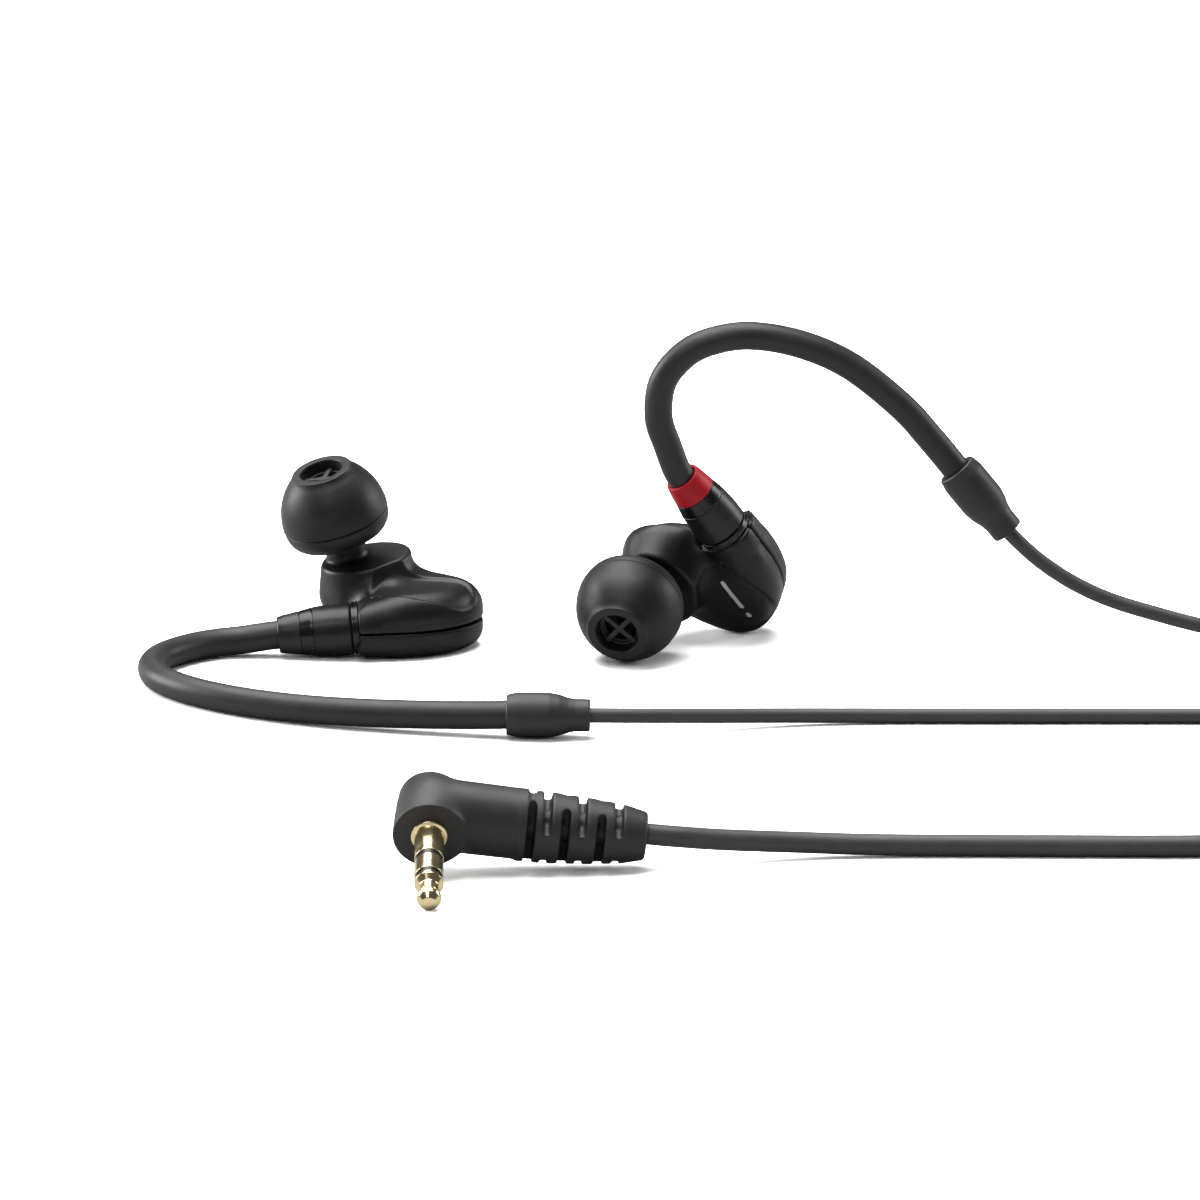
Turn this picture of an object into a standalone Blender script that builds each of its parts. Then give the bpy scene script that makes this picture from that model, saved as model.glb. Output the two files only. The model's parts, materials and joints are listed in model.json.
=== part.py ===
"""In-ear monitors: two detachable earpieces on a Y cable with a right-angle jack plug.

Everything below is in millimetres on the floor plane z = 0 and is turned into metres when a
mesh is made.  +X runs to the right, +Y away from the front, +Z up.  The left earpiece lies on
its rear cover, the right one stands on its ear tip and the lower edge of its housing.
"""
import math

import bmesh
import bpy
from mathutils import Matrix, Vector

MM = 0.001                      # one millimetre in metres
GAP = 0.3                       # clearance between pieces that slide on each other
FIT = 0.1                       # clearance between pieces fixed in one assembly
ROUND = 20                      # facets around a small turned piece

# ---- Housing, in the frame of an earpiece: origin at the socket mouth, x into the housing,
# ---- z from the rear cover to the ear, y from the socket to the driver turret
HOUSING_OUTLINE = (
    (-0.4, -3.1), (3.6, -3.2), (7.6, -2.6), (11.2, -1.1), (14.0, 1.5), (15.5, 4.8),
    (14.7, 8.0), (12.0, 10.6), (8.6, 12.6), (5.0, 13.8), (1.0, 14.0), (-1.9, 12.7),
    (-3.1, 10.3), (-3.0, 7.6), (-1.8, 5.2), (-0.4, 3.1))
OUTLINE_CENTRE = (6.3, 5.3)
FRONT_SECTIONS = ((0.15, 1.0), (1.2, 1.015), (2.3, 0.99), (3.3, 0.93), (4.0, 0.83), (4.4, 0.62))
REAR_SECTIONS = ((-0.15, 1.0), (-1.2, 0.985), (-2.3, 0.93), (-3.0, 0.85), (-3.48, 0.72))
WALL = 0.9                      # shell wall
TURRET_CENTRE = (1.25, 9.2)
TURRET_RADIUS = 5.5
TURRET_DEPTH = 0.86             # its extent along y, as a share of that along x
TURRET_HEIGHT = 6.4             # top of the turret over the seam, on its axis
TURRET_SLOPE = (0.17, 0.10)     # rise of the turret's top along x and y
NOZZLE_BASE = (-1.75, 9.5, 9.1)
NOZZLE_AXIS = (-0.272, -0.168, 0.948)
NOZZLE_RADIUS = 2.5
NOZZLE_BORE = 1.9
NOZZLE_END = 8.0                # from the ear tip's lower edge
GRILLE_THICKNESS = 0.4
GRILLE_BAR = 0.6
TIP_RADIUS = 6.55
TIP_LENGTH = 9.1

# ---- Connector, along its own axis from the earpiece frame's origin out to the ear hook
CONNECTOR_AXIS = (-0.9954, 0.0, -0.0958)
SOCKET_MOUTH = -0.55            # where the housing is squared off for the connector
COLLAR_LENGTH = 0.8
CONNECTOR_BODY_END = 5.0
CONNECTOR_BAND_END = 6.65
CONNECTOR_END = 9.4
PIN_RADIUS = 0.35
PIN_SPREAD = 1.0
PIN_LENGTH = 3.6

# ---- Ear hooks, leads and main lead
HOOK_RADIUS = 1.73
HOOK_START = 7.2                # where the hook starts inside the marker ring
SLEEVE_LENGTH = 10.1
SLEEVE_RADIUS = 2.72
LEAD_RADIUS = 0.91
MAIN_RADIUS = 1.3

# ---- Places on the floor
LEFT_SOCKET = (-26.7, 12.0, 3.5)
LEFT_ANGLES = (0.0, 0.0, 0.0)
RIGHT_SOCKET = (18.05, 16.05, 14.86)
RIGHT_ANGLES = (150.3, 46.4, 33.8)

LEFT_HOOK = (
    (-40.6, 12.0, 1.95), (-43.6, 11.4, 1.78), (-46.9, 9.2, 1.76), (-50.1, 5.2, 1.75),
    (-51.3, 0.6, 1.75), (-50.4, -4.4, 1.75), (-47.6, -8.8, 1.75), (-43.6, -12.6, 1.75),
    (-38.6, -15.9, 1.78), (-32.8, -18.6, 1.85), (-26.8, -20.6, 1.98), (-20.8, -22.1, 2.16),
    (-15.0, -23.3, 2.38), (-9.6, -24.3, 2.66))
LEFT_SLEEVE = ((-8.3, -24.5, 2.76), (1.8, -24.8, 2.76))
RIGHT_HOOK = (
    (11.2, 12.5, 26.3), (10.1, 12.0, 30.0), (10.6, 11.7, 34.5), (13.1, 11.7, 37.8),
    (16.4, 12.0, 39.5), (21.2, 12.5, 40.1), (27.3, 13.0, 38.9), (33.4, 13.5, 36.0),
    (39.5, 13.9, 30.9), (43.0, 14.1, 26.9))
RIGHT_SLEEVE = ((46.2, 14.2, 22.9), (52.5, 14.2, 15.1))

LEAD_COIL_CENTRE = (107.0, 1.0)
LEAD_COIL_RADIUS = 10.0         # middle of its turns
LEAD_COIL_TURNS = (3, 2)        # turns side by side, turns on each other
MAIN_COIL_CENTRE = (96.0, -60.5)
MAIN_COIL_RADIUS = 14.3
MAIN_COIL_TURNS = (3, 3)
COIL_REST = 0.95                # a coil lies on its tie

RIGHT_LEAD = (
    (52.7, 14.2, 14.85), (56.2, 14.2, 11.5), (60.4, 14.2, 8.6), (65.0, 14.2, 6.4),
    (71.0, 14.2, 4.5), (77.0, 14.3, 2.9), (83.0, 14.4, 1.8), (89.0, 14.5, 1.3),
    (95.0, 14.4, 1.35), (101.0, 14.3, 1.6))
LEFT_LEAD = (
    (2.15, -24.85, 2.76), (7.0, -24.4, 2.6), (13.0, -23.0, 2.2), (19.0, -21.2, 1.7),
    (25.0, -19.7, 1.3), (32.0, -18.8, 1.05), (40.0, -18.5, 0.95), (52.0, -18.5, 0.95),
    (64.0, -18.5, 0.95), (76.0, -18.5, 0.95), (83.0, -18.2, 1.05), (89.0, -16.4, 1.7),
    (93.2, -12.4, 3.0), (94.7, -7.4, 4.9))
RIGHT_TAIL = (
    (118.8, -6.6, 1.95), (118.8, -12.0, 2.4), (118.8, -18.0, 2.9), (118.8, -24.0, 2.95),
    (118.8, -43.2, 2.95))
LEFT_TAIL = (
    (116.2, -9.6, 5.5), (116.2, -13.0, 4.4), (116.2, -18.0, 3.15), (116.2, -24.0, 2.95),
    (116.2, -43.2, 2.95))
MAIN_HEAD = (
    (117.5, -57.8, 2.95), (117.5, -61.5, 2.6), (116.9, -65.5, 2.3), (115.2, -70.2, 2.2))
MAIN_TAIL = (
    (85.4, -77.4, 2.1), (79.0, -77.5, 1.6), (72.0, -77.7, 1.33), (60.0, -77.6, 1.33),
    (48.0, -77.4, 1.33), (36.0, -77.5, 1.45), (27.0, -78.3, 1.95), (18.0, -80.7, 2.95),
    (12.5, -82.4, 3.8), (8.95, -82.8, 4.25))
SPLITTER = ((117.5, -43.5, 2.95), (117.5, -57.5, 2.95))
SLIDER_CENTRE = (117.5, -39.0, 2.95)
SLIDER_SIZE = (8.2, 7.0, 5.6)   # across the leads, along them, high
TIE_WIDTH = 4.0
TIE_ROOM = 0.6                  # sideways, because the turns curve inside the strap
TIE_THICKNESS = 0.6
LEAD_TIE_ANGLE = 40.0           # degrees round the coil
MAIN_TIE_ANGLE = 60.0

# ---- Plug: the pin leans to the floor, the boot runs to the right
PLUG_FACE = (-17.4, -87.9, 5.6)
PLUG_PITCH = 17.5               # degrees from level down to the pin's tip
PLUG_ROLL = -6.0                # degrees about the pin, negative leans the boot down
PLUG_RADIUS = 4.3
PLUG_DEPTH = 4.5                # from the plug's face to the boot's axis
BOOT_START = 11.2               # along the boot's axis
BOOT_END = 26.1
BOOT_RADII = (4.05, 2.5)
BOOT_CORE = 2.0
BOOT_SLOT = 1.1
TOP_SLOTS = (14.0, 18.2, 22.6)
SIDE_SLOTS = (12.1, 16.2, 20.5)


# ------------------------------------------------------------------ scene and materials
def clear_scene():
    for item in list(bpy.data.objects):
        bpy.data.objects.remove(item)


def material(name, colour, roughness, metallic=0.0):
    made = bpy.data.materials.new(name)
    made.use_nodes = True
    shader = made.node_tree.nodes["Principled BSDF"]
    shader.inputs["Base Color"].default_value = (*colour, 1.0)
    shader.inputs["Roughness"].default_value = roughness
    shader.inputs["Metallic"].default_value = metallic
    return made


def empty(name, place, turn):
    """A frame that pieces are placed in; place in millimetres, turn as a rotation matrix."""
    frame = bpy.data.objects.new(name, None)
    frame.empty_display_size = 0.01
    frame.matrix_world = Matrix.Translation(Vector(place) * MM) @ turn.to_4x4()
    bpy.context.scene.collection.objects.link(frame)
    return frame


def add_node(name, mesh, made_of, parent=None, place=(0, 0, 0), turn=None):
    """One named piece; place and turn are in its parent's frame."""
    mesh.materials.clear()
    mesh.materials.append(made_of)
    piece = bpy.data.objects.new(name, mesh)
    bpy.context.scene.collection.objects.link(piece)
    piece.parent = parent
    turn = turn or Matrix.Identity(3)
    piece.matrix_basis = Matrix.Translation(Vector(place) * MM) @ turn.to_4x4()
    return piece


def finish_mesh(name, shape, mirrored=False):
    """Turns a bmesh in millimetres into a mesh in metres, mirrored across y for the right ear."""
    for vertex in shape.verts:
        vertex.co *= MM
        if mirrored:
            vertex.co.y = -vertex.co.y
    bmesh.ops.remove_doubles(shape, verts=shape.verts, dist=1e-7)
    bmesh.ops.recalc_face_normals(shape, faces=shape.faces)
    mesh = bpy.data.meshes.new(name)
    shape.to_mesh(mesh)
    shape.free()
    mesh.shade_smooth()
    mesh.set_sharp_from_angle(angle=math.radians(35))
    return mesh


# ------------------------------------------------------------------ shapes, all in millimetres
def axis_turn(axis):
    """The rotation that lays a shape's own +Z along axis."""
    return Vector(axis).normalized().to_track_quat("Z", "Y").to_matrix()


def moved(shape, place, turn=None):
    turn = turn or Matrix.Identity(3)
    bmesh.ops.transform(shape, matrix=Matrix.Translation(Vector(place)) @ turn.to_4x4(),
                        verts=shape.verts)
    return shape


def turned(profile, facets=ROUND, closed=False):
    """A profile of (radius, height) turned about Z; a closed one makes a ring with a bore."""
    shape = bmesh.new()
    points = [shape.verts.new((radius, 0.0, height)) for radius, height in profile]
    edges = [shape.edges.new(pair) for pair in zip(points, points[1:])]
    if closed:
        edges.append(shape.edges.new((points[-1], points[0])))
    bmesh.ops.spin(shape, geom=points + edges, cent=(0, 0, 0), axis=(0, 0, 1),
                   angle=2 * math.pi, steps=facets, use_merge=True)
    bmesh.ops.remove_doubles(shape, verts=shape.verts, dist=1e-4)
    return shape


def rod(radius, low, high, facets=ROUND):
    return turned([(0, low), (radius, low), (radius, high), (0, high)], facets)


def ring(inner, outer, low, high, facets=ROUND):
    return turned([(inner, low), (outer, low), (outer, high), (inner, high)], facets, closed=True)


def block(size, centre=(0, 0, 0)):
    shape = bmesh.new()
    bmesh.ops.create_cube(shape, size=1.0)
    bmesh.ops.scale(shape, vec=size, verts=shape.verts)
    return moved(shape, centre)


def lofted(sections):
    """Skins a list of equal rings of points and closes both ends."""
    shape = bmesh.new()
    rings = [[shape.verts.new(point) for point in section] for section in sections]
    for lower, upper in zip(rings, rings[1:]):
        for here in range(len(lower)):
            after = (here + 1) % len(lower)
            shape.faces.new((lower[here], lower[after], upper[after], upper[here]))
    shape.faces.new(rings[0])
    shape.faces.new(rings[-1])
    return shape


def smooth_curve(points, spacing, closed=False):
    """Points about `spacing` apart on a smooth curve through the given ones."""
    points = [Vector(point) for point in points]
    count = len(points)
    spans = count if closed else count - 1

    def control(index):
        if closed:
            return points[index % count]
        if index < 0:
            return 2 * points[0] - points[1]
        if index >= count:
            return 2 * points[-1] - points[-2]
        return points[index]

    fine = []
    for span in range(spans):
        before, start, end, after = (control(span + shift) for shift in (-1, 0, 1, 2))
        for step in range(16):
            t = step / 16
            fine.append(0.5 * (2 * start + (end - before) * t
                               + (2 * before - 5 * start + 4 * end - after) * t ** 2
                               + (3 * start - before - 3 * end + after) * t ** 3))
    fine.append(points[0] if closed else points[-1])
    total = sum((b - a).length for a, b in zip(fine, fine[1:]))
    pieces = max(1, round(total / spacing))
    route, travelled, wanted = [fine[0]], 0.0, total / pieces
    for a, b in zip(fine, fine[1:]):
        length = (b - a).length
        while travelled + length >= wanted - 1e-9 and len(route) < pieces:
            route.append(a.lerp(b, (wanted - travelled) / length))
            wanted += total / pieces
        travelled += length
    if not closed:
        route.append(points[-1])
    return route


def combine(base, steps):
    """Joins (UNION) and cuts (DIFFERENCE) shapes with exact booleans, one after another."""
    def as_object(shape):
        bmesh.ops.recalc_face_normals(shape, faces=shape.faces)
        mesh = bpy.data.meshes.new("work")
        shape.to_mesh(mesh)
        shape.free()
        item = bpy.data.objects.new("work", mesh)
        bpy.context.scene.collection.objects.link(item)
        return item

    body = as_object(base)
    tools = [body]
    for operation, shape in steps:
        tool = as_object(shape)
        tools.append(tool)
        modifier = body.modifiers.new("step", "BOOLEAN")
        modifier.operation = operation
        modifier.solver = "EXACT"
        modifier.object = tool
    bpy.context.view_layer.update()
    result = bmesh.new()
    result.from_object(body, bpy.context.evaluated_depsgraph_get())
    for tool in tools:
        bpy.data.objects.remove(tool)
    bmesh.ops.dissolve_degenerate(result, dist=1e-4, edges=result.edges)
    return result


def tube(name, route, radius, made_of, spacing, facets=2, parent=None):
    """A cord or hook as a curve with a round bevel and filled ends."""
    curve = bpy.data.curves.new(name, "CURVE")
    curve.dimensions = "3D"
    curve.bevel_depth = radius * MM
    curve.bevel_resolution = facets
    curve.use_fill_caps = True
    points = smooth_curve(route, spacing)
    line = curve.splines.new("POLY")
    line.points.add(len(points) - 1)
    for point, place in zip(line.points, points):
        point.co = (*(place * MM), 1.0)
    return add_node(name, curve, made_of, parent)


# ------------------------------------------------------------------ housing of one earpiece
def outline(scale, height):
    centre = Vector((*OUTLINE_CENTRE, 0.0))
    points = smooth_curve([(x, y, 0.0) for x, y in HOUSING_OUTLINE], 2.1, closed=True)
    return [centre + (point - centre) * scale + Vector((0, 0, height)) for point in points]


def housing_loft(sections, inset=0.0, lift=0.0):
    return lofted([outline(scale - inset, height + lift) for height, scale in sections])


def turret(radius, low, lowered):
    """The driver's round housing, cut off at a slope."""
    x, y = TURRET_CENTRE
    shape = moved(rod(radius, low, 12.0, 24), (x, y, 0), Matrix.Diagonal((1, TURRET_DEPTH, 1)))
    slope = Vector((-TURRET_SLOPE[0], -TURRET_SLOPE[1], 1.0)).normalized()
    on_top = Vector((x, y, TURRET_HEIGHT - lowered))
    bmesh.ops.bisect_plane(shape, geom=shape.verts[:] + shape.edges[:] + shape.faces[:],
                           plane_co=on_top, plane_no=slope, clear_outer=True)
    bmesh.ops.holes_fill(shape, edges=shape.edges, sides=0)
    return shape


def along_nozzle(shape):
    return moved(shape, NOZZLE_BASE, axis_turn(NOZZLE_AXIS))


def along_connector(shape):
    return moved(shape, (0, 0, 0), axis_turn(CONNECTOR_AXIS))


def socket_mouth():
    """Cutters that square off the housing for the connector and open its socket."""
    return [("DIFFERENCE", along_connector(rod(3.9, SOCKET_MOUTH, 4.0, 20))),
            ("DIFFERENCE", along_connector(rod(2.4, -5.2, 1.0, 16)))]


def front_shell():
    inner = [(0.15 - 0.6, FRONT_SECTIONS[0][1])] + list(FRONT_SECTIONS[1:])
    return combine(housing_loft(FRONT_SECTIONS), [
        ("UNION", turret(TURRET_RADIUS, 0.3, 0.0)),
        ("UNION", along_nozzle(rod(NOZZLE_RADIUS, -4.2, NOZZLE_END, 16))),
        ("DIFFERENCE", housing_loft(inner, inset=0.12, lift=-WALL)),
        ("DIFFERENCE", turret(TURRET_RADIUS - 0.6, -2.0, WALL)),
        ("DIFFERENCE", along_nozzle(rod(NOZZLE_BORE, -5.0, NOZZLE_END + 1, 12))),
        *socket_mouth()])


def rear_cover():
    inner = [(0.4, REAR_SECTIONS[0][1])] + list(REAR_SECTIONS[1:])
    return combine(housing_loft(REAR_SECTIONS), [
        ("DIFFERENCE", housing_loft(inner, inset=0.12, lift=WALL)),
        *socket_mouth()])


def ear_tip():
    return turned([
        (5.3, 0.0), (6.1, 0.5), (6.5, 1.3), (TIP_RADIUS, 2.2), (6.45, 3.4), (6.1, 5.0),
        (5.45, 6.7), (4.6, 8.1), (3.95, 8.85), (3.6, TIP_LENGTH), (3.0, TIP_LENGTH),
        (2.8, 8.9), (2.8, 0.9), (3.5, 0.9), (3.5, 5.6), (4.4, 5.5), (5.3, 4.0), (5.8, 2.4),
        (5.7, 1.4), (5.0, 0.4)], ROUND, closed=True)


def nozzle_grille():
    hub = ring(2.15, NOZZLE_RADIUS, 0.0, GRILLE_THICKNESS, 20)
    bar = 2 * NOZZLE_RADIUS - 0.4
    middle = (0, 0, GRILLE_THICKNESS / 2)
    across = moved(block((bar, GRILLE_BAR, GRILLE_THICKNESS - 0.06)), middle)
    along = moved(block((GRILLE_BAR, bar, GRILLE_THICKNESS - 0.12)), middle)
    return combine(hub, [("UNION", across), ("UNION", along)])


def socket_block():
    holes = [("DIFFERENCE", moved(rod(PIN_RADIUS + GAP, -5.0, 1.0, 10), (0, side, 0)))
             for side in (-PIN_SPREAD, PIN_SPREAD)]
    return combine(rod(2.2, -4.6, SOCKET_MOUTH - FIT, 20), holes)


EARPIECE_PIECES = (
    # name, shape, material, frame
    ("front_shell", front_shell, "housing", "housing"),
    ("rear_cover", rear_cover, "housing", "housing"),
    ("socket_collar", lambda: ring(
        1.95, 3.2, SOCKET_MOUTH + FIT / 2, SOCKET_MOUTH + COLLAR_LENGTH), "gloss", "connector"),
    ("socket_block", socket_block, "insulator", "connector"),
    ("driver_frame", lambda: turned([
        (4.0, 3.9), (3.5, 3.9), (3.5, 1.1), (1.0, 1.1), (1.0, 0.4), (4.0, 0.4)],
        20, closed=True), "frame", "turret"),
    ("driver_magnet", lambda: rod(2.6, 1.4, 2.9, 16), "magnet", "turret"),
    ("diaphragm", lambda: turned([
        (0, 3.75), (1.2, 3.6), (1.9, 3.2), (2.7, 3.5), (3.3, 3.2), (3.3, 3.4), (2.7, 3.7),
        (1.9, 3.4), (1.2, 3.8), (0, 3.95)], 16), "film", "turret"),
    ("nozzle_mesh", lambda: moved(rod(NOZZLE_BORE - FIT, 0, 0.2, 16), (0, 0, 6.6)),
     "mesh", "nozzle"),
    ("nozzle_grille", lambda: moved(nozzle_grille(), (0, 0, NOZZLE_END + FIT)),
     "grille", "nozzle"),
    ("ear_tip", ear_tip, "silicone", "nozzle"))

CONNECTOR_PIECES = (
    ("connector_body", lambda: combine(turned([
        (1.5, 0.45), (3.0, 0.45), (3.2, 0.65), (3.18, 2.4), (3.0, CONNECTOR_BODY_END),
        (1.5, CONNECTOR_BODY_END)], closed=True),
        [("UNION", block((3.6, 4.4, 1.0), (0, 0, 2.5)))]), "connector"),
    ("connector_band", lambda: turned([
        (1.2, CONNECTOR_BODY_END + FIT), (2.98, CONNECTOR_BODY_END + FIT),
        (2.68, CONNECTOR_BAND_END), (1.2, CONNECTOR_BAND_END)], closed=True), "gloss"),
    ("marker_ring", lambda: turned([
        (HOOK_RADIUS + FIT, CONNECTOR_BAND_END + FIT), (2.64, CONNECTOR_BAND_END + FIT),
        (2.3, 9.0), (2.15, CONNECTOR_END), (HOOK_RADIUS + FIT, CONNECTOR_END)],
        closed=True), "marker"))


def frames_of(side, socket, angles):
    """The frames of one earpiece: its housing, turret and nozzle, and the connector in it."""
    sign = -1 if side == "right" else 1
    turn = Matrix.Rotation(math.radians(angles[2]), 3, "Z")
    turn = turn @ Matrix.Rotation(math.radians(angles[1]), 3, "Y")
    turn = turn @ Matrix.Rotation(math.radians(angles[0]), 3, "X")
    housing = empty("earpiece_frame_" + side, socket, turn)
    flip = Matrix.Diagonal((1, sign, 1))

    def inner(name, place, axis):
        spot = Matrix.Translation(flip @ Vector(place) * MM)
        frame = empty(name + "_frame_" + side, (0, 0, 0), Matrix.Identity(3))
        frame.parent = housing
        frame.matrix_parent_inverse = Matrix.Identity(4)
        frame.matrix_basis = spot @ axis_turn(flip @ Vector(axis)).to_4x4()
        return frame

    return {"housing": housing,
            "turret": inner("turret", (*TURRET_CENTRE, 0), (0, 0, 1)),
            "nozzle": inner("nozzle", NOZZLE_BASE, NOZZLE_AXIS),
            "connector": inner("connector", (0, 0, 0), CONNECTOR_AXIS)}


def add_earpiece(side, socket, angles, finishes):
    """All pieces of one side that are rigid, from the ear tip to the marker ring."""
    frames = frames_of(side, socket, angles)
    mirrored = side == "right"
    for name, shape, finish, where in EARPIECE_PIECES:
        mesh = finish_mesh(name, shape(), mirrored)
        add_node(name + "_" + side, mesh, finishes[finish], frames[where])
    for name, shape, finish in CONNECTOR_PIECES:
        made_of = finishes[finish + "_" + side] if finish == "marker" else finishes[finish]
        add_node(name + "_" + side, finish_mesh(name, shape(), mirrored), made_of,
                 frames["connector"])
    for number, spread in ((1, -PIN_SPREAD), (2, PIN_SPREAD)):
        pin = moved(rod(PIN_RADIUS, -PIN_LENGTH, 1.9, 8), (0, spread, 0))
        add_node("contact_pin_%d_%s" % (number, side), finish_mesh("pin", pin, mirrored),
                 finishes["gold"], frames["connector"])


def hook_start(socket, turn_axis):
    """Points of the hook inside the marker ring and just out of it."""
    axis = Vector(turn_axis)
    return [Vector(socket) + axis * reach for reach in (HOOK_START, CONNECTOR_END + 0.8)]


def sleeve_shape():
    """A stepped sleeve from the hook, at 0, to the thin lead."""
    bore = HOOK_RADIUS + FIT
    return turned([
        (0, 3.2), (bore, 3.2), (bore, 0.0), (2.4, 0.0), (SLEEVE_RADIUS, 1.3),
        (SLEEVE_RADIUS, 5.2), (2.5, 6.4), (2.1, 7.6), (1.97, 8.3), (1.97, SLEEVE_LENGTH),
        (0, SLEEVE_LENGTH)])


def add_sleeve(side, ends, made_of):
    start, end = (Vector(point) for point in ends)
    turn = axis_turn(end - start)
    add_node("hook_sleeve_" + side, finish_mesh("sleeve", sleeve_shape()), made_of,
             place=start, turn=turn)


# ------------------------------------------------------------------ coils, splitter and slider
def coil_solid(radius, turns, lead_radius, base):
    wide, high = turns
    half = wide * lead_radius
    return ring(radius - half, radius + half, base, base + 2 * high * lead_radius, 24)


def tie_shape(radius, half_width, height):
    """A strap round a coil's turns, as a loop that stands on the floor."""
    outer = 2 * (half_width + TIE_ROOM + TIE_THICKNESS)
    tall = height + 2 * (GAP + TIE_THICKNESS)
    hole = (outer - 2 * TIE_THICKNESS, TIE_WIDTH + 2, tall - 2 * TIE_THICKNESS)
    return combine(moved(block((outer, TIE_WIDTH, tall)), (radius, 0, tall / 2)),
                   [("DIFFERENCE", moved(block(hole), (radius, 0, tall / 2)))])


def splitter_shape():
    """Two leads go in side by side, the main lead comes out."""
    length = (Vector(SPLITTER[1]) - Vector(SPLITTER[0])).length
    sections = ((0.0, 3.3, 2.3), (0.8, 3.6, 2.6), (5.0, 3.5, 2.75), (8.5, 2.8, 2.6),
                (11.0, 2.2, 2.2), (length, 2.0, 2.0))
    rings = []
    for height, across, tall in sections:
        ring_points = []
        for step in range(20):
            angle = 2 * math.pi * step / 20
            ring_points.append((across * math.cos(angle), tall * math.sin(angle), height))
        rings.append(ring_points)
    return lofted(rings)


def slider_shape():
    length, high = SLIDER_SIZE[1], SLIDER_SIZE[2]
    sections = ((-length / 2, 0.86), (-length / 2 + 0.8, 1.0), (length / 2 - 0.8, 1.0),
                (length / 2, 0.86))
    rings = []
    for place, scale in sections:
        rings.append([(scale * SLIDER_SIZE[0] / 2 * math.cos(2 * math.pi * step / 20), place,
                       scale * high / 2 * math.sin(2 * math.pi * step / 20))
                      for step in range(20)])
    spread = (RIGHT_TAIL[-1][0] - LEFT_TAIL[-1][0]) / 2
    across = axis_turn((0, 1, 0))
    holes = [("DIFFERENCE", moved(rod(LEAD_RADIUS + GAP, -length, length, 12),
                                  (side, 0, 0), across)) for side in (-spread, spread)]
    return combine(lofted(rings), holes)


def add_cable(finishes):
    lead, main = finishes["lead"], finishes["main_lead"]
    spacing = LEAD_RADIUS * 2 * 2.6
    tube("lead_right", RIGHT_LEAD, LEAD_RADIUS, lead, spacing)
    tube("lead_left", LEFT_LEAD, LEAD_RADIUS, lead, spacing)
    tube("lead_tail_right", RIGHT_TAIL, LEAD_RADIUS, lead, spacing * 1.4)
    tube("lead_tail_left", LEFT_TAIL, LEAD_RADIUS, lead, spacing * 1.4)
    tube("main_lead_head", MAIN_HEAD, MAIN_RADIUS, main, MAIN_RADIUS * 2 * 1.6)
    tube("main_lead", MAIN_TAIL, MAIN_RADIUS, main, MAIN_RADIUS * 2 * 2.0)

    one_coil = 2 * LEAD_COIL_TURNS[1] * LEAD_RADIUS
    centre = (*LEAD_COIL_CENTRE, 0)
    for name, base in (("lead_coil_right", COIL_REST), ("lead_coil_left", COIL_REST + GAP + one_coil)):
        shape = coil_solid(LEAD_COIL_RADIUS, LEAD_COIL_TURNS, LEAD_RADIUS, base)
        add_node(name, finish_mesh(name, shape), lead, place=centre)
    shape = coil_solid(MAIN_COIL_RADIUS, MAIN_COIL_TURNS, MAIN_RADIUS, COIL_REST)
    add_node("main_coil", finish_mesh("main_coil", shape), main, place=(*MAIN_COIL_CENTRE, 0))

    ties = (("lead_tie", LEAD_COIL_CENTRE, LEAD_COIL_RADIUS, LEAD_COIL_TURNS[0] * LEAD_RADIUS,
             2 * one_coil + GAP, LEAD_TIE_ANGLE),
            ("main_tie", MAIN_COIL_CENTRE, MAIN_COIL_RADIUS, MAIN_COIL_TURNS[0] * MAIN_RADIUS,
             2 * MAIN_COIL_TURNS[1] * MAIN_RADIUS, MAIN_TIE_ANGLE))
    for name, centre, radius, half_width, height, angle in ties:
        turn = Matrix.Rotation(math.radians(angle), 3, "Z")
        mesh = finish_mesh(name, tie_shape(radius, half_width, height))
        add_node(name, mesh, finishes["strap"], place=(*centre, 0.02), turn=turn)

    start, end = (Vector(point) for point in SPLITTER)
    add_node("y_splitter", finish_mesh("y_splitter", splitter_shape()), finishes["rubber"],
             place=start, turn=axis_turn(end - start))
    add_node("chin_slider", finish_mesh("chin_slider", slider_shape()), finishes["rubber"],
             place=SLIDER_CENTRE)


# ------------------------------------------------------------------ plug
def plug_frame():
    """The plug's face centre, with +Z along the pin and +X along the boot."""
    pin = Vector((0, -math.cos(math.radians(PLUG_PITCH)), -math.sin(math.radians(PLUG_PITCH))))
    boot = Matrix.Rotation(math.radians(PLUG_ROLL), 3, pin) @ Vector((1, 0, 0))
    turn = Matrix((boot, pin.cross(boot), pin)).transposed()
    return empty("plug_frame", PLUG_FACE, turn)


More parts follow.
